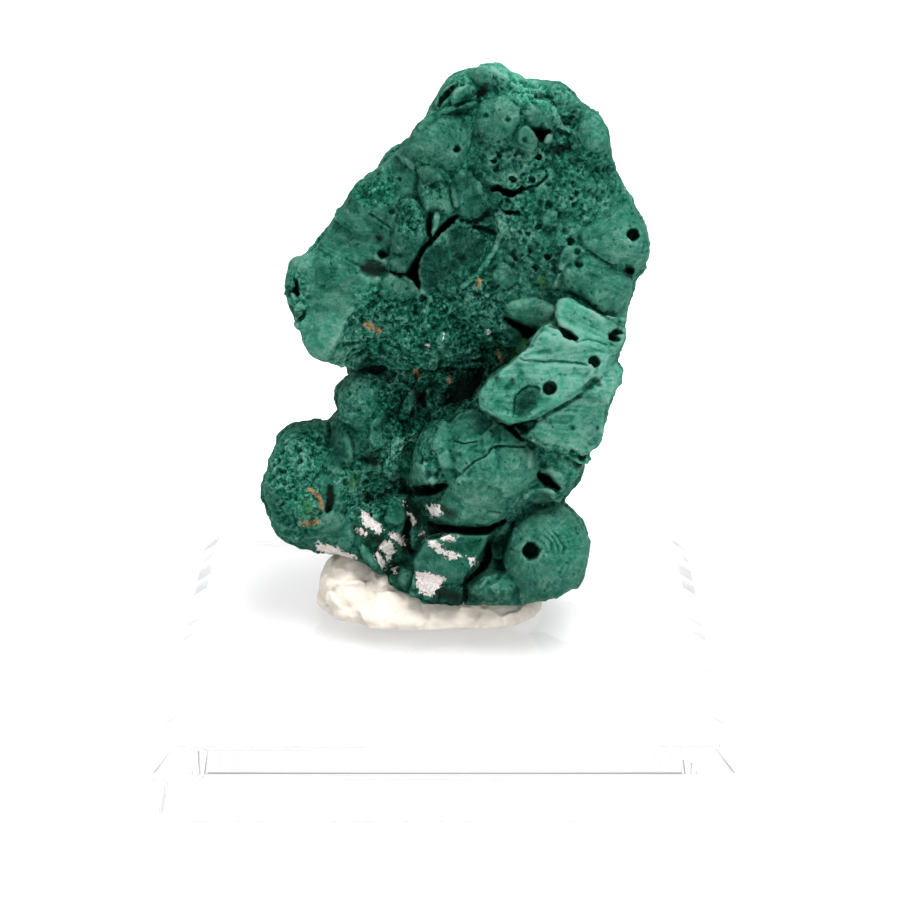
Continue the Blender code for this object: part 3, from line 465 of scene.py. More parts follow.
# How light the stone is, its own tone together with painted shade in its hollows and under its overhangs:
# place, reach, and lightness from 0 to 1
TONES_AND_SHADE = (
    ((502, 228), 7, 0.62), ((496, 248), 6, 0.60), ((486, 266), 6, 0.58),
    ((330, 270), 24, 0.52), ((306, 262), 12, 0.80), ((318, 325), 22, 0.62), ((350, 236), 24, 0.56),
    ((366, 196), 20, 0.50), ((445, 143), 26, 0.52), ((430, 185), 20, 0.44), ((470, 198), 22, 0.40),
    ((450, 256), 30, 0.36), ((405, 243), 20, 0.40), ((437, 228), 8, 0.60), ((498, 119), 22, 0.50),
    ((538, 117), 18, 0.48), ((506, 76), 18, 0.92), ((530, 92), 12, 0.92), ((552, 104), 12, 0.78),
    ((594, 133), 18, 0.58),
    ((560, 94), 14, 0.52), ((458, 86), 16, 0.62), ((545, 165), 26, 0.45), ((560, 200), 34, 0.44),
    ((612, 232), 26, 0.62),
    ((603, 285), 30, 0.58), ((520, 265), 26, 0.44), ((525, 312), 14, 0.60), ((588, 320), 24, 0.82),
    ((560, 356), 28, 0.90), ((585, 372), 18, 0.82), ((530, 362), 16, 0.86), ((528, 399), 14, 0.34),
    ((495, 400), 14, 0.74), ((575, 425), 26, 0.72), ((490, 478), 34, 0.56), ((460, 424), 16, 0.42),
    ((416, 473), 9, 0.66), ((490, 512), 24, 0.58), ((558, 468), 18, 0.56), ((538, 497), 14, 0.62),
    ((550, 575), 34, 0.56), ((575, 545), 16, 0.58), ((450, 562), 20, 0.60), ((500, 588), 14, 0.56),
    ((512, 545), 14, 0.44), ((395, 452), 12, 0.66), ((375, 431), 9, 0.66), ((362, 404), 22, 0.50),
    ((296, 466), 24, 0.62), ((305, 508), 14, 0.70), ((345, 525), 20, 0.50), ((396, 512), 14, 0.54),
    ((430, 340), 34, 0.46), ((465, 388), 16, 0.12), ((420, 400), 18, 0.22), ((370, 370), 12, 0.22),
    ((385, 330), 22, 0.54), ((490, 340), 22, 0.44), ((350, 478), 16, 0.58), ((370, 460), 14, 0.28),
    ((372, 560), 14, 0.44), ((405, 582), 14, 0.40), ((420, 500), 14, 0.24), ((455, 596), 14, 0.20),
)

# Touches of other colours, the dark ones mostly painted shade in clefts, pits, hollows and under the lobes:
# the places that each runs through, and its reach
TOUCHES = {
    "rust": (
        (((310, 490), (317, 494), (321, 502), (322, 508)), 4), (((303, 523), (311, 524), (318, 522)), 4),
        (((366, 324), (372, 327), (378, 331)), 5), (((416, 370), (419, 378)), 3),
        (((450, 376), (449, 382)), 3), (((479, 280), (479, 285)), 4), (((498, 352), (502, 364)), 3),
    ),
    "moss": (
        (((541, 280), (544, 287)), 6), (((524, 343), (514, 356)), 6), (((306, 506), (308, 512)), 10),
        (((352, 480), (352, 486)), 6), (((424, 372), (428, 374)), 4),
    ),
    # Painted shade in clefts, pits, hollows and under the lobes, with a few dark patches
    "dark_patches_and_shade": (
        (((360, 530), (380, 542)), 10), (((412, 508), (416, 522)), 8), (((392, 566), (396, 574)), 6),
        (((364, 268), (371, 263), (380, 267), (373, 274), (364, 268)), 7), (((378, 238), (380, 238)), 6),
        (((465, 384), (458, 396)), 12), (((418, 395), (421, 402)), 8), (((329, 492), (330, 504)), 7),
        (((496, 377), (497, 379)), 5), (((512, 380), (513, 383)), 4), (((368, 369), (380, 370)), 6),
        (((434, 590), (460, 600)), 9), (((409, 512), (416, 524)), 7), (((402, 540), (406, 552)), 7),
        (((486, 84), (481, 94)), 4), (((371, 458), (374, 463)), 7), (((440, 508), (452, 514)), 8),
    ),
}

# White remains on the stone: the corners of each area
FILMS = (
    ((360, 510), (366, 512), (373, 518), (380, 524), (384, 532), (378, 535), (370, 529), (364, 524)),
    ((355, 529), (362, 528), (368, 533), (362, 537)),
    ((383, 541), (391, 539), (395, 548), (393, 558), (388, 562), (384, 553), (377, 549)),
    ((388, 533), (399, 533), (406, 540), (405, 547), (397, 542)),
    ((374, 555), (380, 553), (385, 562), (386, 570), (379, 567)),
    ((426, 541), (434, 540), (441, 547), (449, 550), (461, 556), (458, 560), (446, 556), (434, 551)),
    ((441, 534), (455, 535), (454, 541), (444, 541)), ((466, 557), (474, 558), (478, 564), (471, 565)),
    ((415, 571), (430, 573), (447, 577), (441, 585), (432, 596), (420, 593), (416, 582)),
    ((426, 506), (440, 505), (443, 514), (432, 517)), ((407, 512), (411, 511), (416, 521), (413, 525)),
    ((316, 541), (332, 546), (346, 552), (358, 557), (350, 562), (334, 558), (318, 550)),
    ((426, 343), (430, 345), (427, 349)), ((442, 335), (445, 337), (442, 341)),
    ((487, 329), (491, 332), (487, 334)),
    ((419, 531), (426, 531), (426, 536), (420, 536)),
    ((401, 501), (405, 502), (405, 506), (401, 505)), ((391, 566), (397, 568), (397, 573), (392, 571)),
)

# Lumps of the putty pad: middle and radii, in millimetres from the block's middle and top
PUTTY_LUMPS = (
    ((-1.8, 5.4, 0.4), (10.7, 6.1, 2.9)),
    ((-8.4, 6.0, 1.6), (3.8, 4.6, 3.6)),
    ((4.6, 5.2, 0.5), (4.9, 5.4, 2.7)),
    ((-3.0, 8.2, 1.4), (7.2, 3.6, 3.8)),
)


# Sight lines and picture places

def sight_line(place):
    """The direction in which EYE sees a picture place, one unit deep."""
    across = (place[0] - PICTURE_MIDDLE) / PICTURE_FOCAL
    up = (PICTURE_MIDDLE - place[1]) / PICTURE_FOCAL
    return FORWARD + across * RIGHTWARD + up * UPWARD


def seen_at(place, out):
    """The point that is seen at a picture place, out millimetres this side of the stone's middle plane."""
    line = sight_line(place)
    reach = (STONE_PLANE_Y - EYE.y) / line.y
    return EYE + line * reach - line.normalized() * out * MM


def picture_of(points):
    """Where EYE sees each point, how deep it lies, and how far it stands out of the stone's middle plane."""
    away = points - np.array(EYE)
    depth = away @ np.array(FORWARD)
    across = PICTURE_MIDDLE + PICTURE_FOCAL * (away @ np.array(RIGHTWARD)) / depth
    down = PICTURE_MIDDLE - PICTURE_FOCAL * (away @ np.array(UPWARD)) / depth
    length = np.linalg.norm(away, axis=1)
    plane = length * (STONE_PLANE_Y - EYE.y) / away[:, 1]
    return np.column_stack([across, down]), depth, (plane - length) / MM


def run_distance(places, run):
    """How far each place is from a run of straight lines, in picture points."""
    nearest = np.full(len(places), np.inf)
    for start, end in zip(run, run[1:]):
        start = np.array(start, float)
        line = np.array(end, float) - start
        along = np.clip(((places - start) @ line) / (line @ line), 0, 1)
        nearest = np.minimum(nearest, np.linalg.norm(places - start - along[:, None] * line, axis=1))
    return nearest


def gap_distance(places, run):
    """How far outside a run of lines with widths each place is, in millimetres; less than 0 within."""
    nearest = np.full(len(places), np.inf)
    for start, end in zip(run, run[1:]):
        origin = np.array(start[:2], float)
        line = np.array(end[:2], float) - origin
        along = np.clip(((places - origin) @ line) / (line @ line), 0, 1)
        distance = np.linalg.norm(places - origin - along[:, None] * line, axis=1)
        nearest = np.minimum(nearest, distance - 0.5 * (start[2] + along * (end[2] - start[2])))
    return nearest / POINTS_PER_MM


def nearest_on_ring(places, ring):
    """The place on a closed ring nearest to each place, and whether each place is inside it."""
    best = np.full(len(places), np.inf)
    nearest = np.zeros_like(places)
    inside = np.zeros(len(places), bool)
    for start, end in zip(ring, ring[1:] + ring[:1]):
        origin = np.array(start, float)
        line = np.array(end, float) - origin
        along = np.clip(((places - origin) @ line) / (line @ line), 0, 1)
        point = origin + along[:, None] * line
        distance = np.linalg.norm(places - point, axis=1)
        closer = distance < best
        best[closer] = distance[closer]
        nearest[closer] = point[closer]
        spans = (start[1] > places[:, 1]) != (end[1] > places[:, 1])
        crossing = start[0] + (places[:, 1] - start[1]) * line[0] / (line[1] or 1e-9)
        inside ^= spans & (places[:, 0] < crossing)
    return nearest, inside


def area_mask(places, areas, soft):
    """1 inside any of these areas, 0 outside, with an edge soft picture points wide."""
    mask = np.zeros(len(places))
    for ring in areas:
        nearest, inside = nearest_on_ring(places, ring)
        distance = np.linalg.norm(places - nearest, axis=1)
        mask = np.maximum(mask, smooth_step(-soft, soft, np.where(inside, distance, -distance)))
    return mask


# Patterns

def smooth_step(low, high, value):
    """0 below low, 1 above high, and an easy curve between."""
    share = np.clip((value - low) / (high - low), 0, 1)
    return share * share * (3 - 2 * share)


def cell_number(cells, seed):
    """A fixed number from 0 to 1 for each cell of a grid."""
    key = cells[:, 0] * 73856093 ^ cells[:, 1] * 19349663 ^ cells[:, 2] * 83492791 ^ (seed * 40503 + 977)
    key = (key ^ (key >> 13)) & 0xFFFFFFF
    key = (key * 60493 + (key >> 7) * 19937) & 0xFFFFFFF
    key = (key ^ (key >> 11)) * 48271 & 0xFFFFFF
    return key / 0xFFFFFF


def cloud(points, seed=0):
    """Smooth lumps about one unit wide, from about -1 to 1."""
    cell = np.floor(points).astype(np.int64)
    part = points - cell
    ease = part * part * part * (part * (part * 6 - 15) + 10)
    total = np.zeros(len(points))
    for corner in np.ndindex(2, 2, 2):
        here = cell + np.array(corner)
        lean = np.column_stack([cell_number(here, seed * 3 + axis) for axis in range(3)]) * 2 - 1
        share = np.prod(np.where(np.array(corner) == 1, ease, 1 - ease), axis=1)
        total += share * np.einsum("ij,ij->i", lean, part - np.array(corner))
    return total * 1.6


def scatter(points, seed=0, flat=False):
    """The distance to the nearest of one spot in each cell, that spot's own number, and the way from it."""
    cell = np.floor(points).astype(np.int64)
    best = np.full(len(points), 9.0)
    number = np.zeros(len(points))
    way = np.zeros_like(points)
    for step in np.ndindex(3, 3, 1 if flat else 3):
        here = cell + np.array(step) - (np.array((1, 1, 0)) if flat else 1)
        spot = here + np.column_stack([cell_number(here, seed * 5 + axis) for axis in range(3)])
        gap = points - spot
        if flat:
            gap[:, 2] = 0
        distance = np.linalg.norm(gap, axis=1)
        closer = distance < best
        best[closer] = distance[closer]
        number[closer] = cell_number(here, seed * 5 + 4)[closer]
        way[closer] = gap[closer]
    return best, number, way


def facets(points, seed):
    """Flat broken faces about one unit wide, each tilted its own way, from about -0.6 to 0.6."""
    _, number, way = scatter(points, seed)
    lean = np.column_stack([np.cos(97 * number), np.sin(57 * number), np.cos(31 * number)])
    return np.einsum("ij,ij->i", lean, way) + 0.25 * np.sin(171 * number)


def lumps(grain, sizes):
    """Smooth lumps of several sizes, as a height in millimetres."""
    return sum(height * cloud(grain / size, seed) for size, seed, height in sizes)


def bent(places, reach, size, seed):
    """Places that stray by about this reach, in lumps of this size."""
    return places + reach * np.column_stack([cloud(places / size, seed + axis) for axis in range(3)])


# Meshes

def points_of(mesh):
    """The mesh's points as an array."""
    flat = np.empty(len(mesh.vertices) * 3, np.float32)
    mesh.vertices.foreach_get("co", flat)
    return flat.reshape(-1, 3).astype(float)


def normals_of(mesh):
    """The mesh's point normals as an array."""
    flat = np.empty(len(mesh.vertices) * 3, np.float32)
    mesh.vertices.foreach_get("normal", flat)
    return flat.reshape(-1, 3).astype(float)


def move_points(mesh, points):
    """Puts the mesh's points at these places."""
    mesh.vertices.foreach_set("co", points.astype(np.float32).ravel())
    mesh.update()


def eased_points(mesh, rounds):
    """The mesh's points after each has gone to its neighbours' mean so many times."""
    ends = np.empty(len(mesh.edges) * 2, np.int64)
    mesh.edges.foreach_get("vertices", ends)
    first, second = ends.reshape(-1, 2).T
    points = points_of(mesh)
    count = np.bincount(ends, minlength=len(points))[:, None]
    for _ in range(rounds):
        total = np.column_stack([
            np.bincount(first, points[second, axis], len(points))
            + np.bincount(second, points[first, axis], len(points))
            for axis in range(3)
        ])
        points = 0.5 * points + 0.5 * total / count
    return points


def swell_of(mesh, rounds):
    """How far each point stands out of its surroundings, in millimetres."""
    return np.einsum("ij,ij->i", points_of(mesh) - eased_points(mesh, rounds), normals_of(mesh)) / MM


def keep_numbers(mesh, name, values):
    """Keeps one number for each of the mesh's points, for the material to read."""
    mesh.attributes.new(name, "FLOAT", "POINT").data.foreach_set("value", values.astype(np.float32))


def new_piece(name, shape):
    """An object in the scene from a bmesh."""
    mesh = bpy.data.meshes.new(name)
    shape.to_mesh(mesh)
    shape.free()
    made = bpy.data.objects.new(name, mesh)
    bpy.context.scene.collection.objects.link(made)
    return made


def apply_modifiers(piece):
    """Makes the piece's evaluated mesh its own, and drops its modifiers."""
    bpy.context.view_layer.update()
    graph = bpy.context.evaluated_depsgraph_get()
    mesh = bpy.data.meshes.new_from_object(piece.evaluated_get(graph))
    piece.modifiers.clear()
    piece.data = mesh


def finish(piece, material):
    """Smooth shading, and the one material of the piece."""
    piece.data.shade_smooth()
    piece.data.materials.clear()
    piece.data.materials.append(material)


def one_skin(piece, voxel):
    """Joins overlapping shells into one skin of even squares."""
    remesh = piece.modifiers.new("one_skin", "REMESH")
    remesh.mode = "VOXEL"
    remesh.voxel_size = voxel
    apply_modifiers(piece)


def add_mass(shape, place, crest, radii, turn, fineness):
    """One rounded mass whose crest is seen at a picture place."""
    axes = Matrix((RIGHTWARD, UPWARD, -FORWARD)).transposed()
    size = Matrix.Diagonal(Vector(radii) * MM)
    matrix = (axes @ Matrix.Rotation(math.radians(turn), 3, "Z") @ size).to_4x4()
    matrix.translation = seen_at(place, crest - radii[2])
    bmesh.ops.create_icosphere(shape, subdivisions=fineness, radius=1, matrix=matrix)


def add_plate(shape, corners, thickness):
    """One broken plate: the outline that its corners give, carried back into the stone."""
    front = [shape.verts.new(seen_at(corner[:2], corner[2])) for corner in corners]
    face = shape.faces.new(front)
    back = bmesh.ops.extrude_face_region(shape, geom=[face])["geom"]
    moved = [item for item in back if isinstance(item, bmesh.types.BMVert)]
    bmesh.ops.translate(shape, verts=moved, vec=FORWARD * thickness * MM)
    walls = {wall for vert in front + moved for wall in vert.link_faces}
    bmesh.ops.recalc_face_normals(shape, faces=list(walls))


# The stone's skin

def draw_rim_to_outline(mesh):
    """Moves what stands outside the outline onto it, and draws the rim that falls short out to it."""
    points = points_of(mesh)
    facing = np.abs(normals_of(mesh) @ np.array(FORWARD))
    places, depth, _ = picture_of(points)
    strayed = wandering(places)
    nearest, inside = nearest_on_ring(strayed, rounded(OUTLINE, 2))
    shift = nearest - strayed
    reach = np.linalg.norm(shift, axis=1) * depth / PICTURE_FOCAL
    rim = 1 - smooth_step(0.15, RIM_FACING, facing)
    rim *= 1 - smooth_step(0.6 * RIM_REACH, RIM_REACH, reach)
    share = np.where(inside, rim, 1.0)
    step = shift * (share * depth / PICTURE_FOCAL)[:, None]
    points += step[:, :1] * np.array(RIGHTWARD) - step[:, 1:] * np.array(UPWARD)
    move_points(mesh, points)


def plan_of(places):
    """Picture places in millimetres on a flat plan."""
    return np.column_stack([places / POINTS_PER_MM, np.zeros(len(places))])


def wandering(places):
    """Picture places that stray a little, so that drawn edges come out natural."""
    plan = plan_of(places)
    stray = np.column_stack([
        sum(far * cloud(plan / size, seed + axis) for far, size, seed in WANDER) for axis in range(2)
    ])
    return places + stray


def rounded(ring, rounds=2):
    """A closed ring with its corners cut a few times, so that it reads as a curve."""
    places = np.array(ring, float)
    for _ in range(rounds):
        after = np.roll(places, -1, axis=0)
        places = np.stack([0.75 * places + 0.25 * after, 0.25 * places + 0.75 * after], axis=1).reshape(-1, 2)
    return [tuple(place) for place in places]


def inside_distance(places, ring):
    """How far inside a closed ring each place is, in millimetres: less than 0 outside, and -9 far off."""
    corners = np.array(ring, float)
    near = np.all((places > corners.min(axis=0) - 12) & (places < corners.max(axis=0) + 12), axis=1)
    nearest, inside = nearest_on_ring(places[near], ring)
    gap = np.linalg.norm(places[near] - nearest, axis=1) / POINTS_PER_MM
    distance = np.full(len(places), -9.0)
    distance[near] = np.where(inside, gap, -gap)
    return distance


def growths_at(places):
    """For each place: the lift that the growths give, the topmost growth or -1, and how far inside it is."""
    lift = np.zeros(len(places))
    owner = np.full(len(places), -1)
    depth = np.zeros(len(places))
    for index, (name, height, edge, _, _, ring) in enumerate(GROWTHS):
        inside = inside_distance(places, ring if name.endswith("plate") else rounded(ring))
        share = np.clip(inside / edge, 0, 1)
        rise = height * np.sqrt(1 - (1 - share) ** 2)
        top = (inside > 0) & ((rise >= lift) | (height < 0))
        crease = (0.02 + 0.10 * abs(height)) * np.exp(-((inside + 0.07) / 0.08) ** 2)
        lift -= crease * (lift < height) * (inside < 0)
        lift[top] = rise[top]
        owner[top] = index
        depth[top] = inside[top]
    return lift, owner, depth


def crust_at(places, owner):
    """How crusty each place is: wholly in the crusts, and half between the growths."""
    return np.maximum(area_mask(places, CRUSTS, 7), 0.5 * (owner < 0))


def fibres_at(places, owner):
    """The number of the fibre at each place, its reach from its root, and 1 where a growth has fibres."""
    fibre, reach, weight = (np.zeros(len(places)) for _ in range(3))
    for index, (_, _, _, _, root, ring) in enumerate(GROWTHS):
        if root is None:
            continue
        mine = owner == index
        away = places[mine] - np.array(root, float)
        middle = np.linalg.norm(np.array(ring, float) - np.array(root, float), axis=1).mean() / POINTS_PER_MM
        fibre[mine] = np.arctan2(away[:, 1], away[:, 0]) * middle / FIBRE_WIDTH + 57 * index
        reach[mine] = np.linalg.norm(away, axis=1) / POINTS_PER_MM
        weight[mine] = 1
    return fibre, reach, weight


def carve(mesh):
    """Gives the skin its large relief: growths, crust, shelves, clefts and holes."""
    points = points_of(mesh)
    normals = normals_of(mesh)
    facing = -normals @ np.array(FORWARD)
    front = smooth_step(0.0, 0.3, facing)
    places, _, out = picture_of(points)
    grain = points / MM
    plan = plan_of(places)

    crust = area_mask(places, CRUSTS, CRUST_EDGE) * front
    back = 1 - smooth_step(-0.35, 0.05, facing)
    lift = lumps(grain, STONE_LUMPS)
    warped = bent(grain, 0.5, 1.6, 53)
    lift += crust * (0.35 * cloud(grain / 1.7, 3) + 0.34 * facets(warped / 1.7, 13))
    broken = area_mask(places, BROKEN, BROKEN_EDGE) * front
    lift += broken * 0.22 * facets(warped / 2.3, 15)

    # The side that faces away is a crowd of small domes
    dome, _, _ = scatter(grain / BACK_DOME, 11)
    small, _, _ = scatter(grain / BACK_SMALL_DOME, 12)
    lift += back * (0.75 - 1.1 * dome ** 2 - 0.25 * small ** 2)

    # Shelves of the low left lobe
    shelf = smooth_step(0, 1, 1 - np.linalg.norm(places - np.array(SHELF_MIDDLE), axis=1) / SHELF_REACH)
    level = (plan[:, 1] + 0.9 * cloud(grain / 1.6, 10)) / SHELF_STEP % 1
    lift += front * shelf * 0.30 * (level - 0.5)
    points += (lift * MM)[:, None] * normals

    grown, _, _ = growths_at(wandering(places))
    points -= (grown * front * MM)[:, None] * np.array(FORWARD)
    out = out + grown * front

    press = np.zeros(len(points))
    for _, run, width, deep in HOLLOWS:
        near = run_distance(places, run) / POINTS_PER_MM
        press = np.maximum(press, deep * (1 - smooth_step(0.25 * width, 0.9 * width, near)))
    wobble = 0.08 * cloud(grain / 0.7, 14)
    for _, run, floor in CLEFTS:
        share = 1 - smooth_step(-0.10, 0.08, gap_distance(places, run) + wobble)
        press = np.maximum(press, share * np.clip(out - floor, 0, 9))
    for place, radius, deep in HOLES:
        near = np.linalg.norm(places - np.array(place, float), axis=1) / POINTS_PER_MM + wobble
        press = np.maximum(press, deep * (1 - smooth_step(0.8 * radius, 1.1 * radius, near)))
    points += (press * smooth_step(-0.1, 0.25, facing) * MM)[:, None] * np.array(FORWARD)
    points[:, 2] = np.maximum(points[:, 2], STONE_FOOT)
    move_points(mesh, points)


def engrave(mesh):
    """Gives the skin its small relief: crumbs, pits, fibres, rings, cracks and raised lines."""
    points = points_of(mesh)
    normals = normals_of(mesh)
    front = smooth_step(-0.1, 0.3, -normals @ np.array(FORWARD))
    places, _, _ = picture_of(points)
    grain = points / MM
    plan = plan_of(places)
    pitted = area_mask(places, PITTED, PIT_EDGE) * front
    strayed = wandering(places)
    _, owner, _ = growths_at(strayed)
    crust = crust_at(places, owner) * front
    fibre, reach, weight = fibres_at(strayed, owner)

    fine = cloud(grain / 0.42, 5)
    crumb = 0.3 - np.abs(cloud(grain / 0.75, 15))
    lift = 0.035 * fine + 0.05 * cloud(grain / 0.9, 16)
    lift -= 0.05 * smooth_step(0.25, 0.6, cloud(grain / 0.8, 17))
    patch = smooth_step(-0.3, 0.4, cloud(grain / 2.6, 25))
    lift += crust * (0.06 * fine + 0.04 * crumb + 0.08 * cloud(grain / 0.75, 26))
    lift -= crust * 0.20 * smooth_step(0.3, 0.65, cloud(grain / 1.0, 27))
    rough = crust > 0.02
    warped = bent(grain[rough], 0.25, 0.6, 50)
    lift[rough] += crust[rough] * (0.05 + 0.13 * patch[rough]) * facets(warped / 0.5, 29)
    lift += pitted * (0.05 * fine + 0.11 * crumb * patch + 0.24 * cloud(grain / 1.3, 6))

    # Round pits
    stray = [0.17 * cloud(plan / 0.35, seed) for seed in (18, 19)]
    strayed_plan = plan + np.column_stack([*stray, np.zeros(len(plan))])
    for size, seed, share in WIDE_PITS:
        near, number, _ = scatter(strayed_plan / size, seed, flat=True)
        near = near * size
        wide = size * (0.08 + 0.22 * ((number % 0.17) / 0.17) ** 2)
        there = pitted * (number < share * (0.3 + 0.7 * patch))
        lift -= there * 1.05 * wide * (1 - smooth_step(0.5 * wide, 1.15 * wide, near))
    for size, seed, share in FINE_PITS:
        near, number, _ = scatter(strayed_plan / size, seed, flat=True)
        lift -= front * (number < share) * 0.12 * (1 - smooth_step(0.05, 0.17, near * size))

    # Fibres of the radial growths, and the rings of the low right one
    thread = np.column_stack([fibre, reach * 0.5, np.zeros(len(fibre))])
    lift += front * weight * 0.035 * cloud(thread, 8)
    layered = np.where(np.isin(owner, PLATE_GROWTHS), 0.10 + 0.08 * patch, 0.03)
    lift += front * weight * layered * cloud(thread * np.array((0.30, 0.6, 0)), 28)
    lift += front * weight * 0.5 * layered * cloud(thread * np.array((0.75, 0.8, 0)), 30)
    from_hole = places - np.array(RING_MIDDLE)
    ring = np.linalg.norm(from_hole, axis=1) + 3.5 * cloud(plan * 0.8, 9)
    turn = np.degrees(np.arctan2(-from_hole[:, 1], from_hole[:, 0]))
    window = smooth_step(12, 18, ring) * (1 - smooth_step(34, 42, ring))
    window *= 1 - smooth_step(50, 85, np.abs(turn - 25))
    lift -= front * window * 0.20 * patch * (1 - np.abs((ring / RING_STEP) % 1 * 2 - 1)) ** 2

    for run, width, height in LINES:
        near = run_distance(strayed, run) / POINTS_PER_MM
        lift += front * height * (1 - smooth_step(0.3 * width, width, near))
    points += (lift * MM)[:, None] * normals
    points[:, 2] = np.maximum(points[:, 2], STONE_FOOT)
    move_points(mesh, points)


def thin_skin(piece):
    """Thins the mesh to the number of triangles that a piece may have, where it is smoothest first."""
    piece.data.calc_loop_triangles()
    thin = piece.modifiers.new("thin", "DECIMATE")
    thin.ratio = min(1.0, STONE_TRIANGLES / len(piece.data.loop_triangles))
    thin.use_collapse_triangulate = True
    apply_modifiers(piece)


def note_looks(mesh):
    """Keeps what the material reads: lightness with painted shade, the edges and hollows that get painted
    highlight and shade, crust, pits, fibres and touches of colour.
    """
    points = points_of(mesh)
    normals = normals_of(mesh)
    facing = -normals @ np.array(FORWARD)
    front = smooth_step(-0.2, 0.2, facing)
    places, _, _ = picture_of(points)
    strayed = wandering(places)

    # Painted highlight where the skin swells out and painted shade in its hollows, with less highlight on the
    # plates
    swell_highlight_and_shade = 6.0 * swell_of(mesh, 6) + 0.8 * swell_of(mesh, 40)
    _, owner, depth = growths_at(strayed)
    swell_highlight_and_shade *= np.where(np.isin(owner, PLATE_GROWTHS) & (swell_highlight_and_shade > 0), 0.45, 1.0)
    keep_numbers(mesh, "swell_highlight_and_shade", np.clip(0.5 + swell_highlight_and_shade, 0, 1))

    tone = np.full(len(points), PLAIN_WEIGHT * PLAIN_TONE)
    total = np.full(len(points), PLAIN_WEIGHT)
    # Lightness from the table: partly the stone's own tone, partly painted shade in hollows and under
    # overhangs
    for place, reach, lightness in TONES_AND_SHADE:
        share = np.exp(-(np.linalg.norm(places - np.array(place, float), axis=1) / reach) ** 2)
        tone += share * lightness
        total += share
    tone /= total
    # Painted shade in the clefts
    for _, run, _ in CLEFTS:
        tone -= 0.45 * (1 - smooth_step(-0.15, 0.10, gap_distance(places, run)))
    for index, (_, _, _, lightness, _, _) in enumerate(GROWTHS):
        share = 0.75 * (owner == index) * smooth_step(0, 0.25, depth)
        tone += share * (lightness - tone)
    keep_numbers(mesh, "tone", tone * front + PLAIN_TONE * (1 - front))

    keep_numbers(mesh, "crust", crust_at(places, owner) * front)
    keep_numbers(mesh, "pitted", area_mask(places, PITTED, 7) * front + 0.25 * (1 - front))
    fibre, reach, weight = fibres_at(strayed, owner)
    keep_numbers(mesh, "fibre", fibre)
    keep_numbers(mesh, "fibre_reach", reach)
    keep_numbers(mesh, "fibre_weight", weight * smooth_step(0.02, 0.2, depth) * front)

    keep_numbers(mesh, "film", area_mask(strayed, FILMS, FILM_EDGE) * front)
    for kind, touches in TOUCHES.items():
        amount = np.zeros(len(points))
        for run, reach in touches:
            amount = np.maximum(amount, 1 - run_distance(places, run) / (1.6 * reach))
        keep_numbers(mesh, kind, np.clip(amount, 0, 1) * front)


def stone_piece(material):
    """The malachite, grown as one piece from its masses and plates."""
    shape = bmesh.new()
    for _, place, crest, radii, turn in MASSES:
        add_mass(shape, place, crest, radii, turn, 5 if max(radii) > 4 else 4)
    for _, corners, thickness in PLATES:
        add_plate(shape, corners, thickness)
    piece = new_piece("malachite_stone", shape)
    coarse = 1
    one_skin(piece, coarse * COARSE_VOXEL)
    ease = piece.modifiers.new("ease", "SMOOTH")
    ease.factor = 0.5
    ease.iterations = 10 // coarse
    apply_modifiers(piece)
    for _ in range(2):
        draw_rim_to_outline(piece.data)
    carve(piece.data)
    one_skin(piece, coarse * FINE_VOXEL)
    engrave(piece.data)
    note_looks(piece.data)
    thin_skin(piece)
    finish(piece, material)
    return piece


def putty_piece(material):
    """The pressed pad of putty that the stone stands in."""
    shape = bmesh.new()
    for middle, radii in PUTTY_LUMPS:
        matrix = Matrix.Diagonal(Vector(radii) * MM).to_4x4()
        matrix.translation = Vector(middle) * MM + Vector((0, 0, BLOCK_TOP))
        bmesh.ops.create_icosphere(shape, subdivisions=5, radius=1, matrix=matrix)
    piece = new_piece("pressed_putty", shape)
    one_skin(piece, COARSE_VOXEL)
    mesh = piece.data
    points = points_of(mesh)
    normals = normals_of(mesh)
    grain = points / MM
    lift = lumps(grain, PUTTY_FOLDS) + 0.26 * facets(bent(grain, 0.6, 1.8, 56) / 2.6, 16)
    crease = np.abs(cloud(grain * np.array((1, 1, 1.8)) / 2.2, 34))
    lift -= 0.12 * (1 - smooth_step(0.0, 0.06, crease))
    points += (lift * MM)[:, None] * normals
    points[:, 2] = np.maximum(points[:, 2], BLOCK_TOP + 0.02 * MM)
    move_points(mesh, points)
    one_skin(piece, FINE_VOXEL)
    # Painted shade for the putty's creases and painted highlight on its swells
    keep_numbers(piece.data, "swell_highlight_and_shade", np.clip(0.5 + 4 * swell_of(piece.data, 20), 0, 1))
    finish(piece, material)
    return piece


def block_piece(material):
    """The clear block, with its polished edges barely softened."""
    shape = bmesh.new()
    size = Matrix.Diagonal((BLOCK_SIDE, BLOCK_SIDE, BLOCK_TOP)).to_4x4()
    size.translation = Vector((0, 0, BLOCK_TOP / 2))
    bmesh.ops.create_cube(shape, size=1, matrix=size)
    top = [edge for edge in shape.edges if min(vert.co.z for vert in edge.verts) > 0.99 * BLOCK_TOP]
    for edges, offset, segments in ((top, BLOCK_BEVEL, 1), (None, BLOCK_SOFTNESS, 4)):
        bmesh.ops.bevel(
            shape, geom=edges or list(shape.edges), offset=offset, segments=segments,
            profile=0.5, affect="EDGES", material=-1)
    piece = new_piece("clear_block", shape)
    finish(piece, material)
    weighted = piece.modifiers.new("weighted", "WEIGHTED_NORMAL")
    weighted.keep_sharp = False
    return piece


# Materials

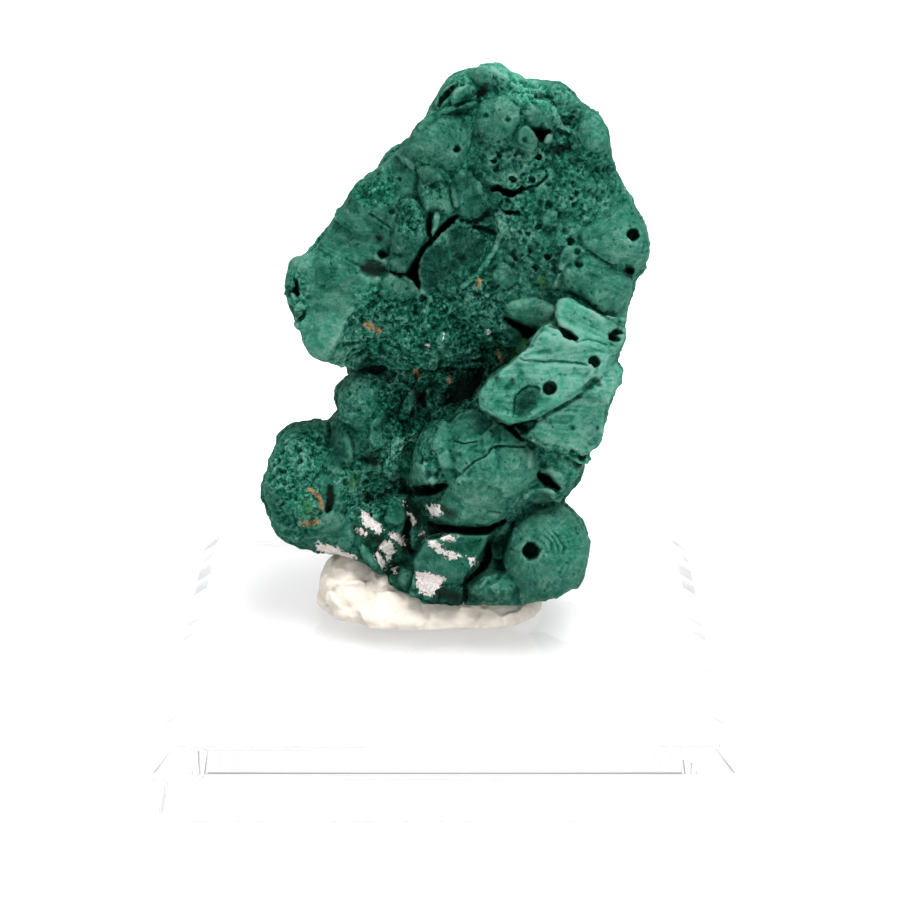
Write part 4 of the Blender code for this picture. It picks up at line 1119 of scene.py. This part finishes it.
# Green from the darkest hollow to the lightest swell, which carries the stone's tone together with its
# painted shade and painted highlight
STONE_COLOURS = (
    (0.0, (0.0008, 0.004, 0.0027)), (0.2, (0.004, 0.022, 0.015)), (0.35, (0.0115, 0.048, 0.033)),
    (0.5, (0.028, 0.094, 0.065)), (0.65, (0.055, 0.145, 0.100)), (0.8, (0.096, 0.212, 0.152)),
    (0.9, (0.130, 0.250, 0.185)), (1.0, (0.185, 0.310, 0.240)),
)

# Tints over the green, from emerald to grey
STONE_TINTS = ((0.1, (0.22, 0.98, 0.84)), (0.5, (0.52, 0.98, 0.96)), (0.9, (0.86, 0.96, 1.0)))

# Stains, the first being painted shade with a few dark patches: attribute, colour, where it begins and is
# full, how solid it is, and how tattered its edge is
STAINS = (
    ("dark_patches_and_shade", (0.006, 0.013, 0.009, 1), 0.25, 1.00, 0.8, 0.5),
    ("moss", (0.040, 0.145, 0.050, 1), 0.45, 0.95, 0.5, 1.0),
    ("rust", (0.40, 0.22, 0.10, 1), 0.50, 0.85, 0.2, 1.0),
    ("film", (0.76, 0.69, 0.66, 1), 0.45, 0.62, 0.62, 1.2),
)

# Cream putty, from the painted shade of its creases to its lightest swells
PUTTY_COLOURS = ((0.0, (0.54, 0.47, 0.40)), (0.4, (0.74, 0.67, 0.58)), (1.0, (0.84, 0.78, 0.70)))
FLOOR_COLOURS = ((0.3, (0.88, 0.88, 0.88)), (0.7, (0.90, 0.90, 0.90)))


class Recipe:
    """A node tree that is written one node at a time."""

    def __init__(self, tree):
        self.tree = tree

    def add(self, kind, inputs=None, **settings):
        """A node with its settings; its inputs, by name or number, are values or other nodes' outputs."""
        node = self.tree.nodes.new("ShaderNode" + kind)
        for name, value in settings.items():
            setattr(node, name, value)
        for name, value in (inputs or {}).items():
            if isinstance(value, bpy.types.NodeSocket):
                self.tree.links.new(value, node.inputs[name])
            else:
                node.inputs[name].default_value = value
        return node

    def sum(self, operation, *values, clamp=False):
        """A Math node's output."""
        return self.add("Math", dict(enumerate(values)), operation=operation, use_clamp=clamp).outputs[0]

    def number(self, name):
        """The number that the mesh keeps under a name."""
        return self.add("Attribute", attribute_name=name).outputs["Fac"]

    def blend(self, share, low, high):
        """A colour between two, by a share."""
        node = self.add("Mix", {0: share, 6: low, 7: high}, data_type="RGBA")
        return node.outputs[2]

    def ramp(self, value, stops):
        """A colour ramp's output."""
        node = self.add("ValToRGB", {"Fac": value})
        elements = node.color_ramp.elements
        elements[0].position, elements[0].color = stops[0][0], (*stops[0][1], 1)
        elements[1].position, elements[1].color = stops[-1][0], (*stops[-1][1], 1)
        for place, colour in stops[1:-1]:
            elements.new(place).color = (*colour, 1)
        return node.outputs["Color"]

    def step(self, value, low, high):
        """0 below low and 1 above high, with an easy curve between."""
        node = self.add("MapRange", {"Value": value, "From Min": low, "From Max": high})
        node.interpolation_type = "SMOOTHSTEP"
        return node.outputs["Result"]

    def noise(self, where, scale, detail=3.0, rough=0.55):
        """A noise texture's number."""
        inputs = {"Vector": where, "Scale": scale, "Detail": detail, "Roughness": rough}
        return self.add("TexNoise", inputs).outputs["Fac"]

    def past_half(self, value):
        """A value less one half."""
        return self.sum("SUBTRACT", value, 0.5)


def new_material(name):
    """A material with a Principled BSDF, and the recipe that writes into it."""
    material = bpy.data.materials.new(name)
    material.use_nodes = True
    recipe = Recipe(material.node_tree)
    return material, recipe, material.node_tree.nodes["Principled BSDF"]


def grain_group():
    """Fine grain that stone and putty share: lumps of the scale asked for, with finer ones on them."""
    tree = bpy.data.node_groups.new("fine_grain", "ShaderNodeTree")
    tree.interface.new_socket("Where", in_out="INPUT", socket_type="NodeSocketVector")
    tree.interface.new_socket("Per mm", in_out="INPUT", socket_type="NodeSocketFloat")
    tree.interface.new_socket("Height", in_out="OUTPUT", socket_type="NodeSocketFloat")
    recipe = Recipe(tree)
    given = tree.nodes.new("NodeGroupInput")
    result = tree.nodes.new("NodeGroupOutput")
    coarse = recipe.noise(given.outputs["Where"], given.outputs["Per mm"], 4.0, 0.6)
    fine_scale = recipe.sum("MULTIPLY", given.outputs["Per mm"], 3.7)
    fine = recipe.noise(given.outputs["Where"], fine_scale, 3.0, 0.6)
    height = recipe.sum("MULTIPLY_ADD", fine, 0.4, recipe.sum("MULTIPLY", coarse, 0.6))
    tree.links.new(height, result.inputs["Height"])
    return tree


def use_grain(recipe, group, where, per_mm):
    """The shared grain's height in a material."""
    node = recipe.add("Group", node_tree=group)
    recipe.tree.links.new(where, node.inputs["Where"])
    node.inputs["Per mm"].default_value = per_mm
    return node.outputs["Height"]


def millimetres(recipe):
    """Object coordinates in millimetres."""
    place = recipe.add("TexCoord").outputs["Object"]
    return recipe.add("Mapping", {"Vector": place, "Scale": (1000, 1000, 1000)}).outputs["Vector"]


def malachite_material(group):
    """Felted, fibrous green stone with crust, pits, traces of white and rust, painted shade with dark
    patches, painted highlight and shade on its swells and hollows, and painted glints on its crust.
    """
    material, r, shader = new_material("malachite")
    where = millimetres(r)
    crust, pitted = r.number("crust"), r.number("pitted")
    swell_highlight_and_shade = r.past_half(r.number("swell_highlight_and_shade"))

    thread_place = r.add("CombineXYZ", {0: r.number("fibre"), 1: r.number("fibre_reach"), 2: 0.0}).outputs[0]
    thread_place = r.add("Mapping", {"Vector": thread_place, "Scale": (1.0, 0.35, 1)}).outputs[0]
    broad = r.past_half(r.noise(where, 0.28, 3.0))
    middle = r.past_half(r.noise(where, 1.3, 4.0, 0.6))
    worn = r.sum("MULTIPLY", r.number("fibre_weight"), r.step(r.noise(where, 0.6, 2.0), 0.35, 0.6))
    thread = r.sum("MULTIPLY", r.past_half(r.noise(thread_place, 0.9, 4.0, 0.65)), worn)
    felt = use_grain(r, group, where, 5.0)
    crystal = r.add("TexVoronoi", {"Vector": where, "Scale": 4.2, "Randomness": 1.0})
    chance = r.add("SeparateColor", {0: crystal.outputs["Color"]}).outputs[0]
    # Each crystal cell of the crust gets its own random tone, and the few brightest cells a painted glint
    crystal_tone_and_glint = r.sum("MULTIPLY_ADD", chance, 0.18, -0.09)
    crystal_tone_and_glint = r.sum("MULTIPLY_ADD", r.step(chance, 0.86, 0.98), 0.16, crystal_tone_and_glint)

    tone = r.sum("MULTIPLY_ADD", broad, 0.50, r.number("tone"))
    rugged = r.sum("MULTIPLY_ADD", crust, 0.4, 0.7)
    tone = r.sum("MULTIPLY_ADD", r.sum("MULTIPLY", middle, rugged), 0.60, tone)
    tone = r.sum("MULTIPLY_ADD", r.sum("MULTIPLY", r.past_half(felt), rugged), 1.25, tone)
    tone = r.sum("MULTIPLY_ADD", thread, 0.40, tone)
    # Painted highlight on the edges that swell out, and painted shade in the hollows
    tone = r.sum("MULTIPLY_ADD", swell_highlight_and_shade, 0.54, tone)
    tone = r.sum("MULTIPLY_ADD", crystal_tone_and_glint, crust, tone)
    colour = r.ramp(tone, STONE_COLOURS)

    # Emerald in the crust and the hollows, greyer where the stone swells and its painted highlight falls
    grey = r.sum("MULTIPLY_ADD", broad, 1.1, 0.55)
    grey = r.sum("MULTIPLY_ADD", middle, 1.0, grey)
    grey = r.sum("MULTIPLY_ADD", swell_highlight_and_shade, 0.5, grey)
    grey = r.sum("MULTIPLY_ADD", crust, -0.22, grey)
    tint = r.ramp(grey, STONE_TINTS)
    colour = r.add("Mix", {0: 1.0, 6: colour, 7: tint}, data_type="RGBA", blend_type="MULTIPLY").outputs[2]

    ragged = r.sum("MULTIPLY", r.past_half(r.noise(where, 2.6, 6.0, 0.75)), 2.4)
    grit = r.step(r.noise(where, 5.5, 3.0, 0.7), 0.38, 0.56)
    for name, paint, low, high, solid, tatter in STAINS:
        share = r.step(r.sum("MULTIPLY_ADD", ragged, tatter, r.number(name)), low, high)
        share = r.sum("MULTIPLY", share, r.step(r.number(name), 0.02, 0.2))
        share = r.sum("MULTIPLY", share, r.sum("MULTIPLY_ADD", grit, 1 - solid, solid))
        colour = r.blend(share, colour, paint)
    r.tree.links.new(colour, shader.inputs["Base Color"])

    rough = r.sum("MULTIPLY_ADD", felt, 0.25, 0.52)
    r.tree.links.new(rough, shader.inputs["Roughness"])
    shader.inputs["Specular IOR Level"].default_value = 0.03

    pores = r.add("TexVoronoi", {"Vector": where, "Scale": 2.4, "Randomness": 1.0}).outputs["Distance"]
    pores = r.sum("MULTIPLY", r.step(pores, 0.05, 0.32), r.sum("MULTIPLY", pitted, 0.5))
    height = r.sum("MULTIPLY_ADD", thread, 0.9, r.sum("MULTIPLY", felt, 0.8))
    height = r.sum("MULTIPLY_ADD", r.sum("MULTIPLY", crystal.outputs["Distance"], crust), -1.4, height)
    height = r.sum("ADD", height, pores)
    bump = r.add("Bump", {"Height": height, "Strength": 0.9, "Distance": 0.19 * MM})
    r.tree.links.new(bump.outputs["Normal"], shader.inputs["Normal"])
    return material


def putty_material(group):
    """Cream putty: chalky, with painted shade that greys its creases and painted highlight on its swells."""
    material, r, shader = new_material("putty")
    where = millimetres(r)
    felt = use_grain(r, group, where, 3.0)
    cloudy = r.noise(where, 0.5, 3.0)
    tone = r.sum("MULTIPLY_ADD", cloudy, 0.5, 0.3)
    # Painted shade in the creases, painted highlight on the swells
    tone = r.sum("MULTIPLY_ADD", r.past_half(r.number("swell_highlight_and_shade")), 0.9, tone)
    r.tree.links.new(r.ramp(tone, PUTTY_COLOURS), shader.inputs["Base Color"])
    r.tree.links.new(r.sum("MULTIPLY_ADD", felt, 0.2, 0.65), shader.inputs["Roughness"])
    shader.inputs["Subsurface Weight"].default_value = 0.08
    shader.inputs["Subsurface Radius"].default_value = (1, 0.7, 0.5)
    shader.inputs["Subsurface Scale"].default_value = 0.4 * MM
    bump = r.add("Bump", {"Height": felt, "Strength": 0.9, "Distance": 0.16 * MM})
    r.tree.links.new(bump.outputs["Normal"], shader.inputs["Normal"])
    return material


def acrylic_material():
    """Clear polished acrylic with the faintest haze of fine scratches."""
    material, r, shader = new_material("acrylic")
    where = millimetres(r)
    stretched = r.add("Mapping", {"Vector": where, "Scale": (0.15, 3.0, 0.15)}).outputs[0]
    scratch = r.step(r.noise(stretched, 1.0, 4.0, 0.7), 0.62, 0.80)
    r.tree.links.new(r.sum("MULTIPLY_ADD", scratch, 0.02, 0.005), shader.inputs["Roughness"])
    r.tree.links.new(r.blend(scratch, (1, 1, 1, 1), (0.985, 0.985, 0.985, 1)), shader.inputs["Base Color"])
    shader.inputs["IOR"].default_value = 1.49
    shader.inputs["Transmission Weight"].default_value = 1.0
    return material


def floor_material():
    """A plain white sweep."""
    material, r, shader = new_material("white_sweep")
    where = millimetres(r)
    colour = r.ramp(r.noise(where, 0.02, 2.0), FLOOR_COLOURS)
    r.tree.links.new(colour, shader.inputs["Base Color"])
    shader.inputs["Roughness"].default_value = 0.6
    shader.inputs["Emission Color"].default_value = (1, 1, 1, 1)
    shader.inputs["Emission Strength"].default_value = FLOOR_GLOW
    return material


# The room

def floor_piece(material):
    """A wide white floor, a hair below the block so that the two faces never fight."""
    shape = bmesh.new()
    below = Matrix.Translation((0, 0, -FLOOR_GAP))
    bmesh.ops.create_grid(shape, x_segments=2, y_segments=2, size=FLOOR_REACH, matrix=below)
    piece = new_piece("floor", shape)
    piece.data.materials.append(material)
    return piece


def hang_lamp():
    """A square soft light above to the right, that looks at the stone."""
    lamp = bpy.data.lights.new("above", "AREA")
    lamp.shape = "SQUARE"
    lamp.size = LAMP_SIZE
    lamp.energy = LAMP_POWER
    made = bpy.data.objects.new("above", lamp)
    made.location = LAMP_PLACE
    made.rotation_euler = (Vector(LAMP_AIM) - Vector(LAMP_PLACE)).to_track_quat("-Z", "Y").to_euler()
    bpy.context.scene.collection.objects.link(made)


def light_the_room():
    """A white room with a dim band round its walls, which the block shows as a thin dark line."""
    world = bpy.data.worlds.new("white_room")
    world.use_nodes = True
    recipe = Recipe(world.node_tree)
    background = world.node_tree.nodes["Background"]
    height = recipe.add("SeparateXYZ", {0: recipe.add("TexCoord").outputs["Generated"]}).outputs["Z"]
    band = zip(DIM_HEIGHTS, (WALL_WHITE, WALL_DIM, WALL_DIM, WALL_WHITE))
    walls = recipe.ramp(height, ((0.0, WALL_WHITE), *band, (1.0, WALL_WHITE)))
    world.node_tree.links.new(walls, background.inputs["Color"])
    background.inputs["Strength"].default_value = ROOM_STRENGTH
    bpy.context.scene.world = world
    hang_lamp()


def set_camera():
    """The photograph's view."""
    camera = bpy.data.cameras.new("camera")
    camera.sensor_width = SENSOR_WIDTH
    camera.lens = SENSOR_WIDTH * PICTURE_FOCAL / PICTURE_SIZE
    camera.clip_start = 0.01
    made = bpy.data.objects.new("camera", camera)
    made.location = EYE
    made.rotation_euler = (math.pi / 2 - EYE_DIP, 0, 0)
    bpy.context.scene.collection.objects.link(made)
    bpy.context.scene.camera = made


def main():
    group = grain_group()
    stone = stone_piece(malachite_material(group))
    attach(stone, "root")
    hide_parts("malachite")

    putty = putty_piece(putty_material(group))
    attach(putty, "root")
    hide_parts("putty_pad")

    block = block_piece(acrylic_material())
    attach(block, "root")
    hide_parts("block")

    floor_piece(floor_material())
    light_the_room()
    set_camera()
    scene = bpy.context.scene
    scene.view_settings.view_transform = "Standard"
    scene.cycles.glossy_bounces = LIGHT_BOUNCES
    scene.cycles.transmission_bounces = LIGHT_BOUNCES
    scene.cycles.max_bounces = LIGHT_BOUNCES


main()
